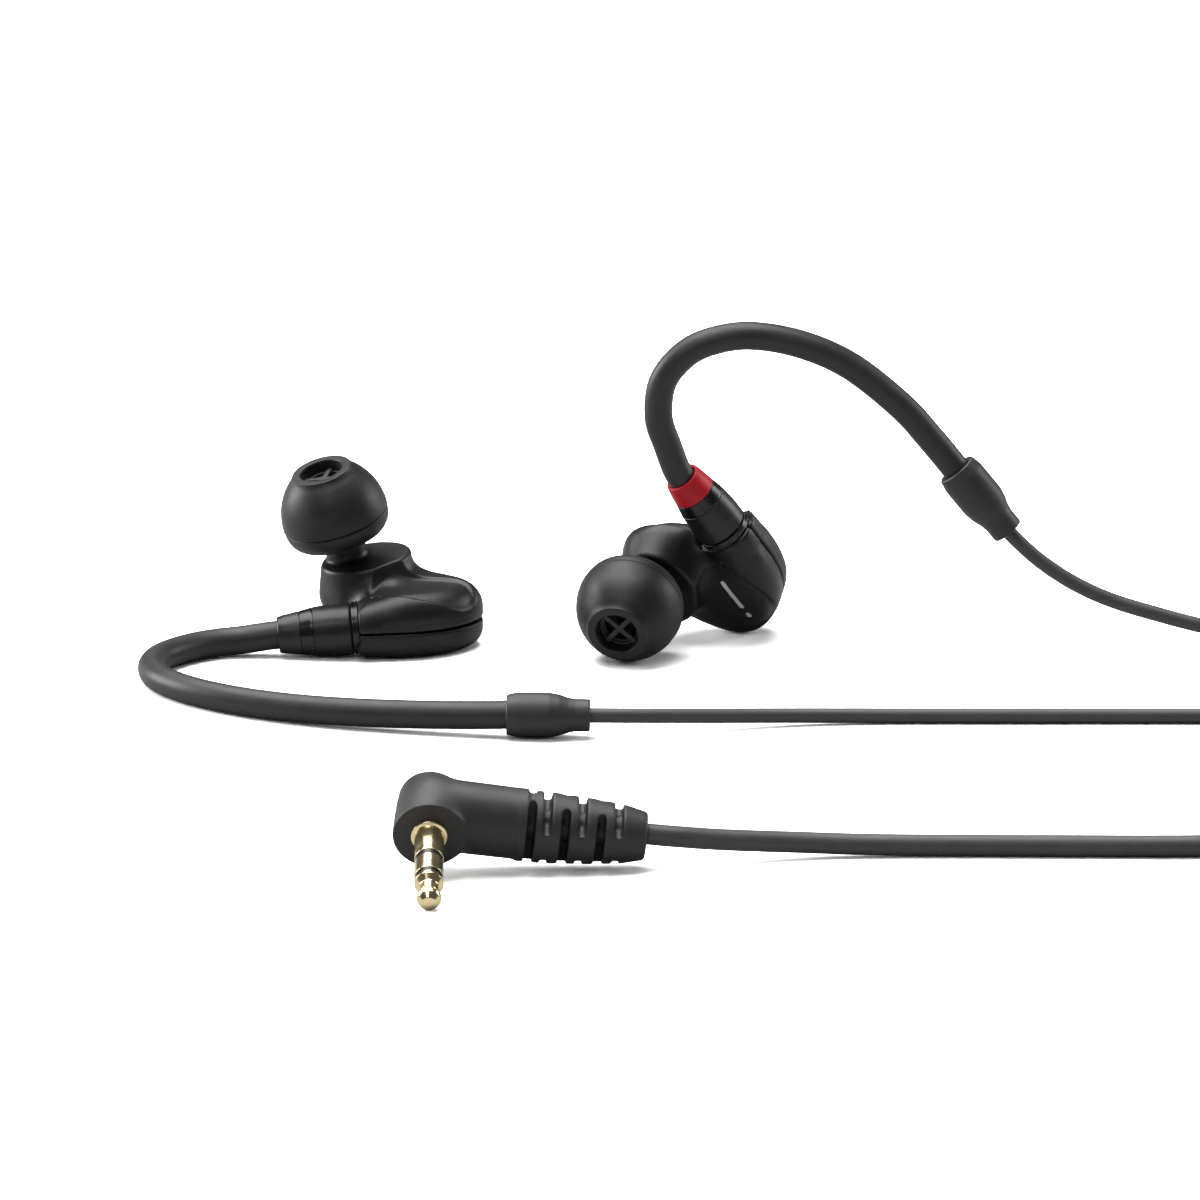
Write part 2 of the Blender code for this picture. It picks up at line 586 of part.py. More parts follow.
def plug_body():
    """Moulded head, neck and slotted boot in one piece."""
    head = turned([
        (0.9, 0.0), (4.15, 0.0), (PLUG_RADIUS, -0.2), (PLUG_RADIUS, -6.3), (4.0, -7.7),
        (3.1, -8.7), (1.6, -9.2), (0.9, -9.25)], closed=True)
    sideways = axis_turn((1, 0, 0))
    axis_at = (0, 0, -PLUG_DEPTH)

    def on_boot_axis(shape):
        return moved(shape, axis_at, sideways)

    neck = on_boot_axis(turned([
        (0, 1.2), (4.2, 1.2), (4.22, 5.0), (BOOT_RADII[0], BOOT_START), (0, BOOT_START)]))
    boot = on_boot_axis(turned([
        (0, BOOT_START - 1.0), (BOOT_RADII[0] + 0.02, BOOT_START - 1.0), (3.95, 13.0), (3.35, 19.0),
        (2.7, 25.0), (BOOT_RADII[1], BOOT_END - 0.3), (2.3, BOOT_END), (0, BOOT_END)]))
    slots = []
    for place in TOP_SLOTS:
        slots.append(("DIFFERENCE", block((BOOT_SLOT, 6.0, 14.0), (place, 3.4, -PLUG_DEPTH))))
    for place in SIDE_SLOTS:
        slots.append(("DIFFERENCE", block((BOOT_SLOT, 7.0, 14.0), (place, -1.4, -PLUG_DEPTH))))
    core = on_boot_axis(rod(BOOT_CORE, BOOT_START - 0.5, BOOT_END - 0.8, 16))
    boot = combine(boot, slots[:])
    boot = combine(core, [("UNION", boot)])
    return combine(head, [("UNION", neck), ("UNION", boot),
                          ("DIFFERENCE", rod(0.9, -9.5, 1.0, 12))])


PLUG_PIECES = (
    ("plug_body", plug_body, "rubber"),
    ("jack_sleeve", lambda: turned([
        (0.8, FIT), (2.2, FIT), (2.2, 0.7), (1.75, 0.8), (1.75, 5.5), (0.8, 5.5)],
        24, closed=True), "gold"),
    ("jack_insulator_1", lambda: ring(0.8, 1.72, 5.55, 6.35, 20), "insulator"),
    ("jack_ring", lambda: ring(0.8, 1.75, 6.4, 9.4, 20), "gold"),
    ("jack_insulator_2", lambda: ring(0.8, 1.72, 9.45, 10.2, 20), "insulator"),
    ("jack_tip", lambda: turned([
        (0, -4.0), (0.5, -4.0), (0.5, 10.25), (1.75, 10.25), (1.75, 10.75), (1.2, 11.5),
        (1.15, 12.9), (1.48, 13.7), (1.38, 14.3), (0.9, 14.85), (0.4, 15.1), (0, 15.1)], 20),
     "gold"))


def add_plug(finishes):
    frame = plug_frame()
    for name, shape, finish in PLUG_PIECES:
        add_node(name, finish_mesh(name, shape()), finishes[finish], frame)


# ------------------------------------------------------------------ the whole set
def build():
    clear_scene()
    finishes = {
        "housing": material("housing_black", (0.018, 0.018, 0.019), 0.42),
        "gloss": material("gloss_black", (0.01, 0.01, 0.011), 0.12),
        "connector": material("connector_black", (0.016, 0.016, 0.017), 0.5),
        "silicone": material("silicone_black", (0.025, 0.025, 0.026), 0.62),
        "grille": material("grille_black", (0.03, 0.03, 0.032), 0.5),
        "mesh": material("acoustic_mesh", (0.05, 0.05, 0.05), 0.5, 0.7),
        "frame": material("driver_frame", (0.25, 0.25, 0.26), 0.4, 0.9),
        "magnet": material("magnet_nickel", (0.55, 0.54, 0.5), 0.3, 1.0),
        "film": material("diaphragm_film", (0.5, 0.42, 0.3), 0.3),
        "marker_left": material("marker_black", (0.02, 0.02, 0.021), 0.5),
        "marker_right": material("marker_red", (0.55, 0.02, 0.035), 0.45),
        "hook": material("hook_rubber", (0.024, 0.024, 0.026), 0.55),
        "lead": material("lead_rubber", (0.03, 0.03, 0.032), 0.5),
        "main_lead": material("main_lead_rubber", (0.03, 0.03, 0.032), 0.5),
        "rubber": material("moulded_rubber", (0.028, 0.028, 0.03), 0.55),
        "strap": material("strap_fabric", (0.02, 0.02, 0.02), 0.9),
        "insulator": material("insulator_black", (0.012, 0.012, 0.012), 0.35),
        "gold": material("gold_contact", (0.83, 0.62, 0.27), 0.18, 1.0)}
    sides = (("left", LEFT_SOCKET, LEFT_ANGLES, LEFT_HOOK, LEFT_SLEEVE),
             ("right", RIGHT_SOCKET, RIGHT_ANGLES, RIGHT_HOOK, RIGHT_SLEEVE))
    for side, socket, angles, hook, sleeve in sides:
        add_earpiece(side, socket, angles, finishes)
        frame = bpy.data.objects["connector_frame_" + side]
        bpy.context.view_layer.update()
        axis = frame.matrix_world.to_3x3() @ Vector((0, 0, 1))
        start, end = (Vector(point) for point in sleeve)
        inside = start + (end - start).normalized() * 2.9
        route = hook_start(socket, axis) + [Vector(point) for point in hook] + [start, inside]
        tube("ear_hook_" + side, route, HOOK_RADIUS, finishes["hook"], HOOK_RADIUS * 2, 3)
        add_sleeve(side, sleeve, finishes["rubber"])
    add_cable(finishes)
    add_plug(finishes)


build()
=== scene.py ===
"""In-ear monitors on a white table: the look of every piece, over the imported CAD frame.

Shapes are in millimetres and become metres when a mesh is made.  An earpiece's own frame has
its origin at the socket, x into the housing, y from the socket to the driver turret and z from
the rear cover to the ear; the right earpiece is the left one mirrored across its own y.
"""
import json
import math

import bpy
import numpy as np
from mathutils import Matrix, Vector


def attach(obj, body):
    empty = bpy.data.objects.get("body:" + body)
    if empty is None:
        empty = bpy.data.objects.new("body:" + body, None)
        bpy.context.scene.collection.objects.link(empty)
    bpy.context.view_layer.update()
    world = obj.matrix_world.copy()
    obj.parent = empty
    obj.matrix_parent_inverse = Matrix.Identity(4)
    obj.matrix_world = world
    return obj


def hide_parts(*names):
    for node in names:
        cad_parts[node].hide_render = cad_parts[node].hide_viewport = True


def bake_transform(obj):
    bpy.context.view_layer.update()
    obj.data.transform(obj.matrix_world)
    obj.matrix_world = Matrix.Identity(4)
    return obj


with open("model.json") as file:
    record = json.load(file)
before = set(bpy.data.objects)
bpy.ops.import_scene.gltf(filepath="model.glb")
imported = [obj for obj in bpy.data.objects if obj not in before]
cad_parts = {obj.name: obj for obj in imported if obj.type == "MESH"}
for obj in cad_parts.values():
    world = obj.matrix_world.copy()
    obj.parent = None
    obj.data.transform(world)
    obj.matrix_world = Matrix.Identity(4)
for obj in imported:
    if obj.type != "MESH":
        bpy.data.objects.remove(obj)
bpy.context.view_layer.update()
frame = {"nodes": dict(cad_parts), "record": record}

MM = 0.001
ROOT = "cable_harness"

# ---- Earpieces
LEFT_SOCKET, LEFT_ANGLES = (-26.7, 12.0, 3.5), (0.0, 0.0, 0.0)
RIGHT_SOCKET, RIGHT_ANGLES = (18.05, 16.05, 14.86), (150.3, 46.4, 33.8)
HOUSING_OUTLINE = (
    (-0.4, -3.1), (3.6, -3.2), (7.6, -2.6), (11.2, -1.1), (14.0, 1.5), (15.5, 4.8),
    (14.7, 8.0), (12.0, 10.6), (8.6, 12.6), (5.0, 13.8), (1.0, 13.9), (-1.8, 12.6),
    (-2.85, 10.3), (-2.65, 7.6), (-1.6, 5.2), (-0.4, 3.1))
FRONT_HEIGHT, REAR_HEIGHT = 4.45, 3.46
FRONT_EDGE, REAR_EDGE = 3.1, 2.2
WALL = 0.9
TURRET_CENTRE = (1.25, 9.2)
TURRET_RADIUS, TURRET_DEPTH, TURRET_HEIGHT = 5.5, 0.86, 6.45
TURRET_SLOPE = (0.17, 0.10)
NOZZLE_BASE, NOZZLE_AXIS = (-1.75, 9.5, 9.1), (-0.272, -0.168, 0.948)
NOZZLE_RADIUS, NOZZLE_BORE, NOZZLE_END = 2.5, 1.9, 7.3
CONNECTOR_AXIS = (-0.9954, 0.0, -0.0958)
SOCKET_MOUTH, SOCKET_RADIUS, SOCKET_DEPTH = -0.55, 2.4, 5.2
NECK_RADIUS, NECK_DEPTH, MOUTH_RADIUS = 3.27, 3.0, 3.6
PAD_CENTRE, PAD_HALF, PAD_TILT, PAD_SINK = (8.1, 2.7), (6.2, 3.7), 5.0, 0.36
SEAM_HALF, SEAM_OPENING = 0.085, 0.08
GRILLE_DROP, GRILLE_ANGLE = 0.6, 38.0
OUTLINE_LOW, OUTLINE_HIGH = (-10, -9), (22, 21)
HOUSING_LOW, HOUSING_HIGH, REAR_HIGH = (-8.4, -4.4, -3.9), (16.4, 14.9, 17.6), (16.4, 14.9, 1.2)
SHELL_STEP = 0.22  # of the grid a shell's mesh is made on

# ---- Ear hooks, sleeves and leads
HOOK_RADIUS, LEAD_RADIUS, MAIN_RADIUS = 1.73, 0.91, 1.3
LEAD_HIDDEN = 2.2  # of a lead inside its sleeve
LEAD_STEP, MAIN_STEP = 0.6, 0.85  # between the points of a route
LEFT_HOOK = (
    (-40.6, 12.0, 1.95), (-43.6, 11.4, 1.78), (-46.9, 9.2, 1.76), (-50.1, 5.2, 1.75),
    (-51.3, 0.6, 1.75), (-50.4, -4.4, 1.75), (-47.6, -8.8, 1.75), (-43.6, -12.6, 1.75),
    (-38.6, -15.9, 1.78), (-32.8, -18.6, 1.85), (-26.8, -20.6, 1.98), (-20.8, -22.1, 2.16),
    (-15.0, -23.3, 2.38), (-9.6, -24.3, 2.66))
LEFT_SLEEVE = ((-8.3, -24.5, 2.76), (1.8, -24.8, 2.76))
RIGHT_HOOK = (
    (11.2, 12.5, 26.3), (10.1, 12.0, 30.0), (10.6, 11.7, 34.5), (13.1, 11.7, 37.8),
    (16.4, 12.0, 39.5), (21.2, 12.5, 40.1), (27.3, 13.0, 38.9), (33.4, 13.5, 36.0),
    (39.5, 13.9, 30.9), (43.0, 14.1, 26.9))
RIGHT_SLEEVE = ((46.2, 14.2, 22.9), (52.5, 14.2, 15.1))
RIGHT_LEAD = (
    (52.7, 14.2, 14.85), (56.2, 14.2, 11.5), (60.4, 14.2, 8.6), (65.0, 14.2, 6.4),
    (71.0, 14.2, 4.5), (77.0, 14.3, 2.9), (83.0, 14.4, 1.8), (89.0, 14.5, 1.3),
    (95.0, 14.4, 1.35), (101.0, 13.6, 1.6))
RIGHT_SPLIT = 5  # the point where the lead's two lengths meet
RIGHT_OVERLAP = 2  # route points that each of them goes on past it
OVERLAP_GIRTH = 0.9  # what each narrows to where they overlap
BEFORE_COIL = 400  # route points among which the split is looked for
LEFT_LEAD = (
    (2.15, -24.85, 2.76), (7.0, -24.4, 2.6), (13.0, -23.0, 2.2), (19.0, -21.2, 1.7),
    (25.0, -19.7, 1.3), (32.0, -18.8, 1.05), (40.0, -18.5, 0.95), (52.0, -18.5, 0.95),
    (64.0, -18.5, 0.95), (76.0, -18.5, 0.95), (83.0, -18.2, 1.05), (89.0, -16.4, 1.7),
    (93.2, -12.4, 3.0), (94.7, -7.4, 4.9))
RIGHT_TAIL = ((118.8, -5.0, 3.4), (118.8, -12.0, 3.1), (118.8, -24.0, 2.95), (118.8, -44.3, 2.95))
LEFT_TAIL = ((116.4, -9.6, 5.7), (116.2, -14.0, 4.2), (116.2, -24.0, 2.95), (116.2, -44.3, 2.95))
MAIN_HEAD = ((117.5, -56.9, 2.95), (117.5, -61.5, 2.6), (116.9, -65.5, 2.3), (114.4, -70.6, 2.2))
MAIN_TAIL = (
    (83.0, -77.5, 2.6), (77.0, -77.6, 1.5), (71.0, -77.7, 1.33), (60.0, -77.6, 1.33),
    (48.0, -77.4, 1.33), (36.0, -77.5, 1.45), (27.0, -78.3, 1.95), (18.0, -80.7, 2.95),
    (12.5, -82.4, 3.8), (8.0, -82.9, 4.35))
LEAD_COIL_CENTRE, LEAD_COIL_RADIUS = (107.0, 1.0), 10.0
MAIN_COIL_CENTRE, MAIN_COIL_RADIUS = (96.0, -60.5), 14.3
COIL_REST, COIL_GAP = 0.95, 0.3  # under the coils, and between the two lead coils
TURN_POINTS = 26  # points on each turn of a coil
EASE_START, EASE_LENGTH = 0.82, 0.18  # the share of a turn that leads to the next slot
SPLITTER = ((117.5, -43.5, 2.95), (117.5, -57.5, 2.95))
SLIDER_CENTRE = (117.5, -39.0, 2.95)
ENTRY_OFFSET = 1.3  # of each lead from the middle of slider and splitter
STRAP_CORNER, STRAP_HALF_WIDTH = 1.4, 1.95
STRAP_ROOM = (0.68, 1.65)  # of a strap around a coil's half width and height

# ---- Plug, in its own frame: x along the boot, y up, z along the pin
PLUG_FACE, PLUG_PITCH, PLUG_ROLL = (-17.4, -87.9, 5.6), 17.5, -6.0
PLUG_DEPTH, HEAD_LENGTH = 4.5, 9.2
HEAD_GIRTH = ((0, 2, 4, 6, 8, 9.2), (4.4, 4.3, 4.15, 3.95, 3.7, 3.5))
NECK_GIRTH = ((-2, 3, 11.5), (4.05, 4.22, 4.14))
NECK_RISE = ((-2, 11.2), (0.25, -0.25))
BOOT_MIDDLE, BOOT_HALF, BOOT_DROP = 18.3, 7.8, 0.42
SLOT_HALF, CORE_RADIUS, CORD_BORE, BORE_START = 0.42, 1.8, 1.33, 24.0
BOOT_PROFILE = ((11.0, 4.1), (14.0, 4.12), (19.3, 3.76), (23.2, 3.36), (25.5, 2.82), (26.1, 2.66))
TOP_SLOTS, SIDE_SLOTS = (14.0, 18.2, 22.6), (12.1, 16.2, 20.5)


# ---- Materials
def nodes_of(name, colour, roughness, metallic=0.0):
    """A new material's node tree, its Principled node and its object coordinates."""
    made = bpy.data.materials.new(name)
    made.use_nodes = True
    tree = made.node_tree
    shader = tree.nodes["Principled BSDF"]
    shader.inputs["Base Color"].default_value = (*colour, 1)
    shader.inputs["Roughness"].default_value = roughness
    shader.inputs["Metallic"].default_value = metallic
    place = tree.nodes.new("ShaderNodeTexCoord").outputs["Object"]
    return made, tree, shader, place


def added(tree, kind, source, into, **values):
    """A new node fed by a source, with its inputs' values by name, such as from_min."""
    node = tree.nodes.new("ShaderNode" + kind)
    for name, value in values.items():
        node.inputs[name.replace("_", " ").title()].default_value = value
    tree.links.new(source, node.inputs[into])
    return node


def noise(tree, place, size, detail=2.0, rough=0.5):
    """Noise with features about `size` millimetres across."""
    return added(tree, "TexNoise", place, "Vector", scale=1.0 / (size * MM), detail=detail,
                 roughness=rough).outputs["Fac"]


def ranged(tree, value, low, high, into):
    node = added(tree, "MapRange", value, "Value", from_min=0.25, from_max=0.75, to_min=low,
                 to_max=high)
    tree.links.new(node.outputs["Result"], into)


def tinted(tree, value, dark, light, into):
    node = tree.nodes.new("ShaderNodeMix")
    node.data_type = "RGBA"
    node.inputs["A"].default_value = (*dark, 1)
    node.inputs["B"].default_value = (*light, 1)
    tree.links.new(value, node.inputs["Factor"])
    tree.links.new(node.outputs["Result"], into)


def bumped(tree, value, depth, shader):
    """A bump `depth` millimetres deep."""
    node = added(tree, "Bump", value, "Height", distance=depth * MM)
    tree.links.new(node.outputs["Normal"], shader.inputs["Normal"])


def moulded(name, colour, roughness, grain, depth, spread=0.07, sheen=0.0, level=0.5):
    """Moulded plastic or rubber: fine grain, uneven gloss, faint handling marks."""
    made, tree, shader, place = nodes_of(name, colour, roughness)
    fine = noise(tree, place, grain, 3.0)
    broad = noise(tree, place, 3.5, 4.0, 0.6)
    ranged(tree, broad, roughness - spread, roughness + spread, shader.inputs["Roughness"])
    lighter = tuple(channel * 1.35 for channel in colour)
    darker = tuple(channel * 0.8 for channel in colour)
    tinted(tree, broad, darker, lighter, shader.inputs["Base Color"])
    bumped(tree, fine, depth, shader)
    shader.inputs["Specular IOR Level"].default_value = level
    if sheen:
        shader.inputs["Sheen Weight"].default_value = sheen
        shader.inputs["Sheen Roughness"].default_value = 0.45
    return made


def polished(name, colour, roughness, metallic=0.0, waves=0.0):
    """A glossy surface with faint polishing marks and smudges."""
    made, tree, shader, place = nodes_of(name, colour, roughness, metallic)
    smudge = noise(tree, place, 1.6, 5.0, 0.62)
    ranged(tree, smudge, roughness * 0.75, roughness * 1.7, shader.inputs["Roughness"])
    lighter = tuple(min(1.0, channel * 1.08) for channel in colour)
    tinted(tree, smudge, colour, lighter, shader.inputs["Base Color"])
    if waves:
        bumped(tree, noise(tree, place, 0.5, 2.0), waves, shader)
    return made


def woven(name, colour, thread, depth, metallic=0.0):
    """Crossing threads, for the strap and the acoustic mesh."""
    made, tree, shader, place = nodes_of(name, colour, 0.8 if not metallic else 0.45, metallic)
    waves = []
    for direction in ("X", "Y"):
        node = added(tree, "TexWave", place, "Vector", scale=0.3142 / (thread * MM),
                     distortion=0.4)
        node.bands_direction = direction
        waves.append(node.outputs["Fac"])
    crossing = tree.nodes.new("ShaderNodeMath")
    crossing.operation = "MULTIPLY"
    tree.links.new(waves[0], crossing.inputs[0])
    tree.links.new(waves[1], crossing.inputs[1])
    tinted(tree, crossing.outputs["Value"], tuple(c * 0.35 for c in colour),
           tuple(c * 1.4 for c in colour), shader.inputs["Base Color"])
    bumped(tree, crossing.outputs["Value"], depth, shader)
    return made


LOOKS = {
    "housing": moulded("housing_black", (0.008, 0.008, 0.0083), 0.38, 0.15, 0.020, level=0.45),
    "gloss": polished("gloss_black", (0.006, 0.006, 0.0065), 0.2),
    "connector": moulded("connector_black", (0.010, 0.010, 0.0104), 0.36, 0.14, 0.010),
    "silicone": moulded("silicone_black", (0.009, 0.009, 0.0094), 0.46, 0.35, 0.004, sheen=0.05),
    "grille": moulded("grille_grey", (0.03, 0.03, 0.032), 0.5, 0.12, 0.006),
    "acoustic_mesh": woven("acoustic_mesh", (0.02, 0.02, 0.021), 0.12, 0.02, 0.8),
    "driver_frame": polished("driver_aluminium", (0.42, 0.42, 0.43), 0.32, 1.0, 0.004),
    "driver_magnet": polished("magnet_nickel", (0.6, 0.58, 0.54), 0.2, 1.0, 0.002),
    "diaphragm": polished("diaphragm_film", (0.5, 0.42, 0.3), 0.28, 0.0, 0.003),
    "marker_left": moulded("marker_black", (0.014, 0.014, 0.0145), 0.38, 0.14, 0.004),
    "marker_right": moulded("marker_red", (0.52, 0.009, 0.022), 0.42, 0.2, 0.006, 0.05, level=0.3),
    "hook": moulded("hook_black", (0.022, 0.022, 0.023), 0.46, 0.22, 0.006, sheen=0.05),
    "lead": moulded("lead_grey", (0.062, 0.062, 0.064), 0.48, 0.25, 0.006, sheen=0.06),
    "main_lead": moulded("main_lead_grey", (0.062, 0.062, 0.064), 0.48, 0.3, 0.007, sheen=0.06),
    "moulded_rubber": moulded("moulded_rubber", (0.030, 0.030, 0.031), 0.48, 0.18, 0.016),
    "strap": woven("strap_black", (0.02, 0.02, 0.021), 0.45, 0.12),
    "insulator": polished("insulator_black", (0.008, 0.008, 0.008), 0.22),
    "gold": polished("gold_contact", (0.95, 0.78, 0.46), 0.16, 1.0),
    "print": moulded("print_white", (0.86, 0.86, 0.86), 0.5, 0.2, 0.002, 0.04),
}


# ---- Meshes
def placed(name, data):
    """A new object in the scene."""
    made = bpy.data.objects.new(name, data)
    bpy.context.scene.collection.objects.link(made)
    return made


def piece(name, points, faces, look, body, stands_for=(), place=None, mirrored=False):
    """A smooth mesh piece from points in millimetres, riding on a body."""
    points = np.asarray(points, float).reshape(-1, 3)
    if place is not None:
        turn, origin = place
        points = points @ np.asarray(turn, float).T + np.asarray(origin, float)
    if mirrored:
        faces = [face[::-1] for face in faces]
    mesh = bpy.data.meshes.new(name)
    mesh.from_pydata((points * MM).tolist(), [], [list(map(int, face)) for face in faces])
    mesh.validate()
    mesh.update()
    mesh.shade_smooth()
    mesh.materials.append(LOOKS[look])
    made = placed(name, mesh)
    if body:
        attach(made, body)
    if stands_for:
        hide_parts(*stands_for)
    return made


def filleted(profile, radius=0.15, step=0.22, closed=False):
    """A profile of (radius, height[, fillet]) with its corners rounded and its runs divided."""
    corners = [np.array(point[:2], float) for point in profile]
    radii = [point[2] if len(point) > 2 else radius for point in profile]
    count, path = len(corners), []
    for index in range(count):
        if not closed and index in (0, count - 1):
            path.append(corners[index])
            continue
        here = corners[index]
        back, ahead = corners[index - 1] - here, corners[(index + 1) % count] - here
        lengths = np.linalg.norm(back), np.linalg.norm(ahead)
        back, ahead = back / lengths[0], ahead / lengths[1]
        half = math.acos(float(np.clip(back @ ahead, -1, 1))) / 2
        cut = min(radii[index] / max(math.tan(half), 1e-6), 0.45 * min(lengths))
        if cut < 1e-4 or half > 1.55:
            path.append(here)
            continue
        start, end = here + back * cut, here + ahead * cut
        for share in np.linspace(0, 1, 6):
            bent = (1 - share) ** 2 * start + 2 * share * (1 - share) * here + share ** 2 * end
            path.append(bent)
    if closed:
        path.append(path[0])
    fine = [path[0]]
    for start, end in zip(path, path[1:]):
        parts = max(1, int(math.ceil(np.linalg.norm(end - start) / step)))
        fine += [start + (end - start) * part / parts for part in range(1, parts + 1)]
    return np.array(fine[:-1] if closed else fine)


def bands(rows, sides, closed=False):
    """Quads between rings of points, one ring after another."""
    corners = ((0, 0), (0, 1), (1, 1), (1, 0))
    return [tuple((row + up) % rows * sides + (side + on) % sides for up, on in corners)
            for row in range(rows if closed else rows - 1) for side in range(sides)]


def turned(profile, sides=80, closed=True):
    """A profile turned about z.  An open one starts and ends on the axis."""
    rows = len(profile)
    angles = 2 * math.pi * np.arange(sides) / sides
    points = np.stack([profile[:, None, 0] * np.cos(angles), profile[:, None, 0] * np.sin(angles),
                       np.broadcast_to(profile[:, None, 1], (rows, sides))], -1)
    faces = bands(rows, sides, closed)
    if not closed:
        faces[:sides] = [(face[0], *face[2:]) for face in faces[:sides]]
        faces[-sides:] = [face[:3] for face in faces[-sides:]]
    return points.reshape(-1, 3), oriented(profile, faces, closed)


def oriented(profile, faces, closed):
    """Faces turned to point out, from the sense in which the profile runs."""
    ends = profile if closed else np.vstack([profile, [(0, profile[-1, 1]), (0, profile[0, 1])]])
    after = np.roll(ends, -1, axis=0)
    area = float(np.sum(ends[:, 0] * after[:, 1] - after[:, 0] * ends[:, 1]))
    return faces if area > 0 else [face[::-1] for face in faces]


def curve_through(points, spacing, closed=False):
    """Points about `spacing` apart on a smooth curve through the given ones."""
    points = np.asarray(points, float)
    if closed:
        points = np.vstack([points[-1:], points, points[:2]])
    else:
        points = np.vstack([2 * points[:1] - points[1:2], points, 2 * points[-1:] - points[-2:-1]])
    t = (np.arange(16) / 16)[:, None]
    fine = [0.5 * (2 * start + (end - before) * t
                   + (2 * before - 5 * start + 4 * end - after) * t ** 2
                   + (3 * start - before - 3 * end + after) * t ** 3)
            for before, start, end, after in zip(points, points[1:], points[2:], points[3:])]
    fine = np.vstack([*fine, points[-2:-1]])
    along = np.concatenate([[0], np.cumsum(np.linalg.norm(np.diff(fine, axis=0), axis=1))])
    marks = np.linspace(0, along[-1], max(3, int(round(along[-1] / spacing))) + 1)
    even = np.stack([np.interp(marks, along, fine[:, axis]) for axis in range(fine.shape[1])], -1)
    return even[:-1] if closed else even


def swept(route, radii, sides):
    """A round tube along a route, with flat ends."""
    route = np.asarray(route, float)
    radii = np.broadcast_to(np.asarray(radii, float), (len(route),))
    along = np.gradient(route, axis=0)
    along /= np.linalg.norm(along, axis=1)[:, None]
    across = np.cross(along[0], (0.3, 0.2, 1.0))
    across /= np.linalg.norm(across)
    angles = 2 * math.pi * np.arange(sides) / sides
    points = []
    for here, direction, radius in zip(route, along, radii):
        across = across - direction * (across @ direction)
        across /= np.linalg.norm(across)
        other = np.cross(direction, across)
        points.append(here + radius * (np.cos(angles)[:, None] * across
                                       + np.sin(angles)[:, None] * other))
    faces = bands(len(route), sides)
    last, base = len(route) * sides, (len(route) - 1) * sides
    for side in range(sides):
        after = (side + 1) % sides
        faces.append((after, side, last))
        faces.append((base + side, base + after, last + 1))
    return np.vstack([*points, route[0], route[-1]]), faces


OTHER_AXES = ((1, 2), (0, 2), (0, 1))


def skin(field, low, high, step):
    """A closed mesh where field(points) is zero, inside where it is below, in millimetres."""
    axes = [np.arange(start, end + step, step) for start, end in zip(low, high)]
    size = [len(axis) for axis in axes]
    grid = np.stack(np.meshgrid(*axes, indexing="ij"), -1).reshape(-1, 3)
    value = field(grid).reshape(size)
    cells = [count - 1 for count in size]
    total, found = np.zeros((*cells, 3)), np.zeros(cells)
    crossings = []
    for axis, (one, two) in enumerate(OTHER_AXES):
        low_value = value.take(range(cells[axis]), axis)
        high_value = value.take(range(1, size[axis]), axis)
        crossed = (low_value < 0) != (high_value < 0)
        with np.errstate(divide="ignore", invalid="ignore"):
            share = np.where(crossed, low_value / (low_value - high_value), 0.0)
        crossings.append((crossed, low_value < 0))
        for near, far in ((0, 0), (0, 1), (1, 0), (1, 1)):
            part = [slice(None)] * 3
            part[one], part[two] = slice(near, near + cells[one]), slice(far, far + cells[two])
            hit = crossed[tuple(part)]
            found += hit
            total[..., axis] += share[tuple(part)] * hit
            total[..., one] += near * hit
            total[..., two] += far * hit
    used = found > 0
    number = np.full(cells, -1)
    number[used] = np.arange(int(used.sum()))
    base = np.stack(np.nonzero(used), -1)
    points = np.array(low) + step * (base + total[used] / found[used][:, None])
    faces = []
    for axis, (crossed, starts_inside) in enumerate(crossings):
        one, two = OTHER_AXES[axis]
        where = np.stack(np.nonzero(crossed), -1)
        keep = ((where[:, one] > 0) & (where[:, two] > 0)
                & (where[:, one] < size[one] - 1) & (where[:, two] < size[two] - 1))
        where = where[keep]
        corners = []
        for near, far in ((-1, -1), (0, -1), (0, 0), (-1, 0)):
            cell = where.copy()
            cell[:, one] += near
            cell[:, two] += far
            corners.append(number[tuple(cell.T)])
        quads = np.stack(corners, -1)
        flip = starts_inside[tuple(where.T)] == (axis == 1)
        quads[flip] = quads[flip][:, ::-1]
        faces.append(quads)
    nudge = step * 0.25
    for _ in range(3):
        slope = np.stack([field(points + offset) - field(points - offset)
                          for offset in np.eye(3) * nudge], -1) / (2 * nudge)
        move = field(points)[:, None] * slope / np.maximum((slope ** 2).sum(1), 0.2)[:, None]
        points = points - np.clip(move, -0.5 * step, 0.5 * step)
    return points, np.concatenate(faces)


def joined(*fields, blend=0.0):
    """The union of solids given by their distances, with a fillet."""
    merged = fields[0]
    for other in fields[1:]:
        nearest = np.minimum(merged, other)
        if blend:
            overlap = np.maximum(blend - np.abs(merged - other), 0) / blend
            nearest = nearest - overlap ** 2 * blend / 4
        merged = nearest
    return merged


def common(*fields, blend=0.0):
    """What solids share, with a rounded edge."""
    return -joined(*[-field for field in fields], blend=blend)


def smoothed(value):
    """From 0 to 1 with soft ends, and flat outside."""
    value = np.clip(value, 0, 1)
    return value * value * (3 - 2 * value)


def rod_field(points, base, axis, radius, low, high):
    """A straight rod along an axis from a base point."""
    axis = np.asarray(axis, float) / np.linalg.norm(axis)
    reach = (points - np.asarray(base, float)) @ axis
    across = np.linalg.norm(points - np.asarray(base, float) - reach[:, None] * axis, axis=1)
    return np.maximum(across - radius, np.maximum(low - reach, reach - high))


# ---- Camera, floor and light
def add_camera():
    data = bpy.data.cameras.new("camera")
    data.sensor_width = 36.0
    data.lens = 1476.0
    data.clip_start, data.clip_end = 0.5, 60.0
    made = placed("camera", data)
    made.location = (0.003, -5.743, 1.603)
    made.rotation_euler = (math.radians(90 - 15.5), 0, 0)
    bpy.context.scene.camera = made


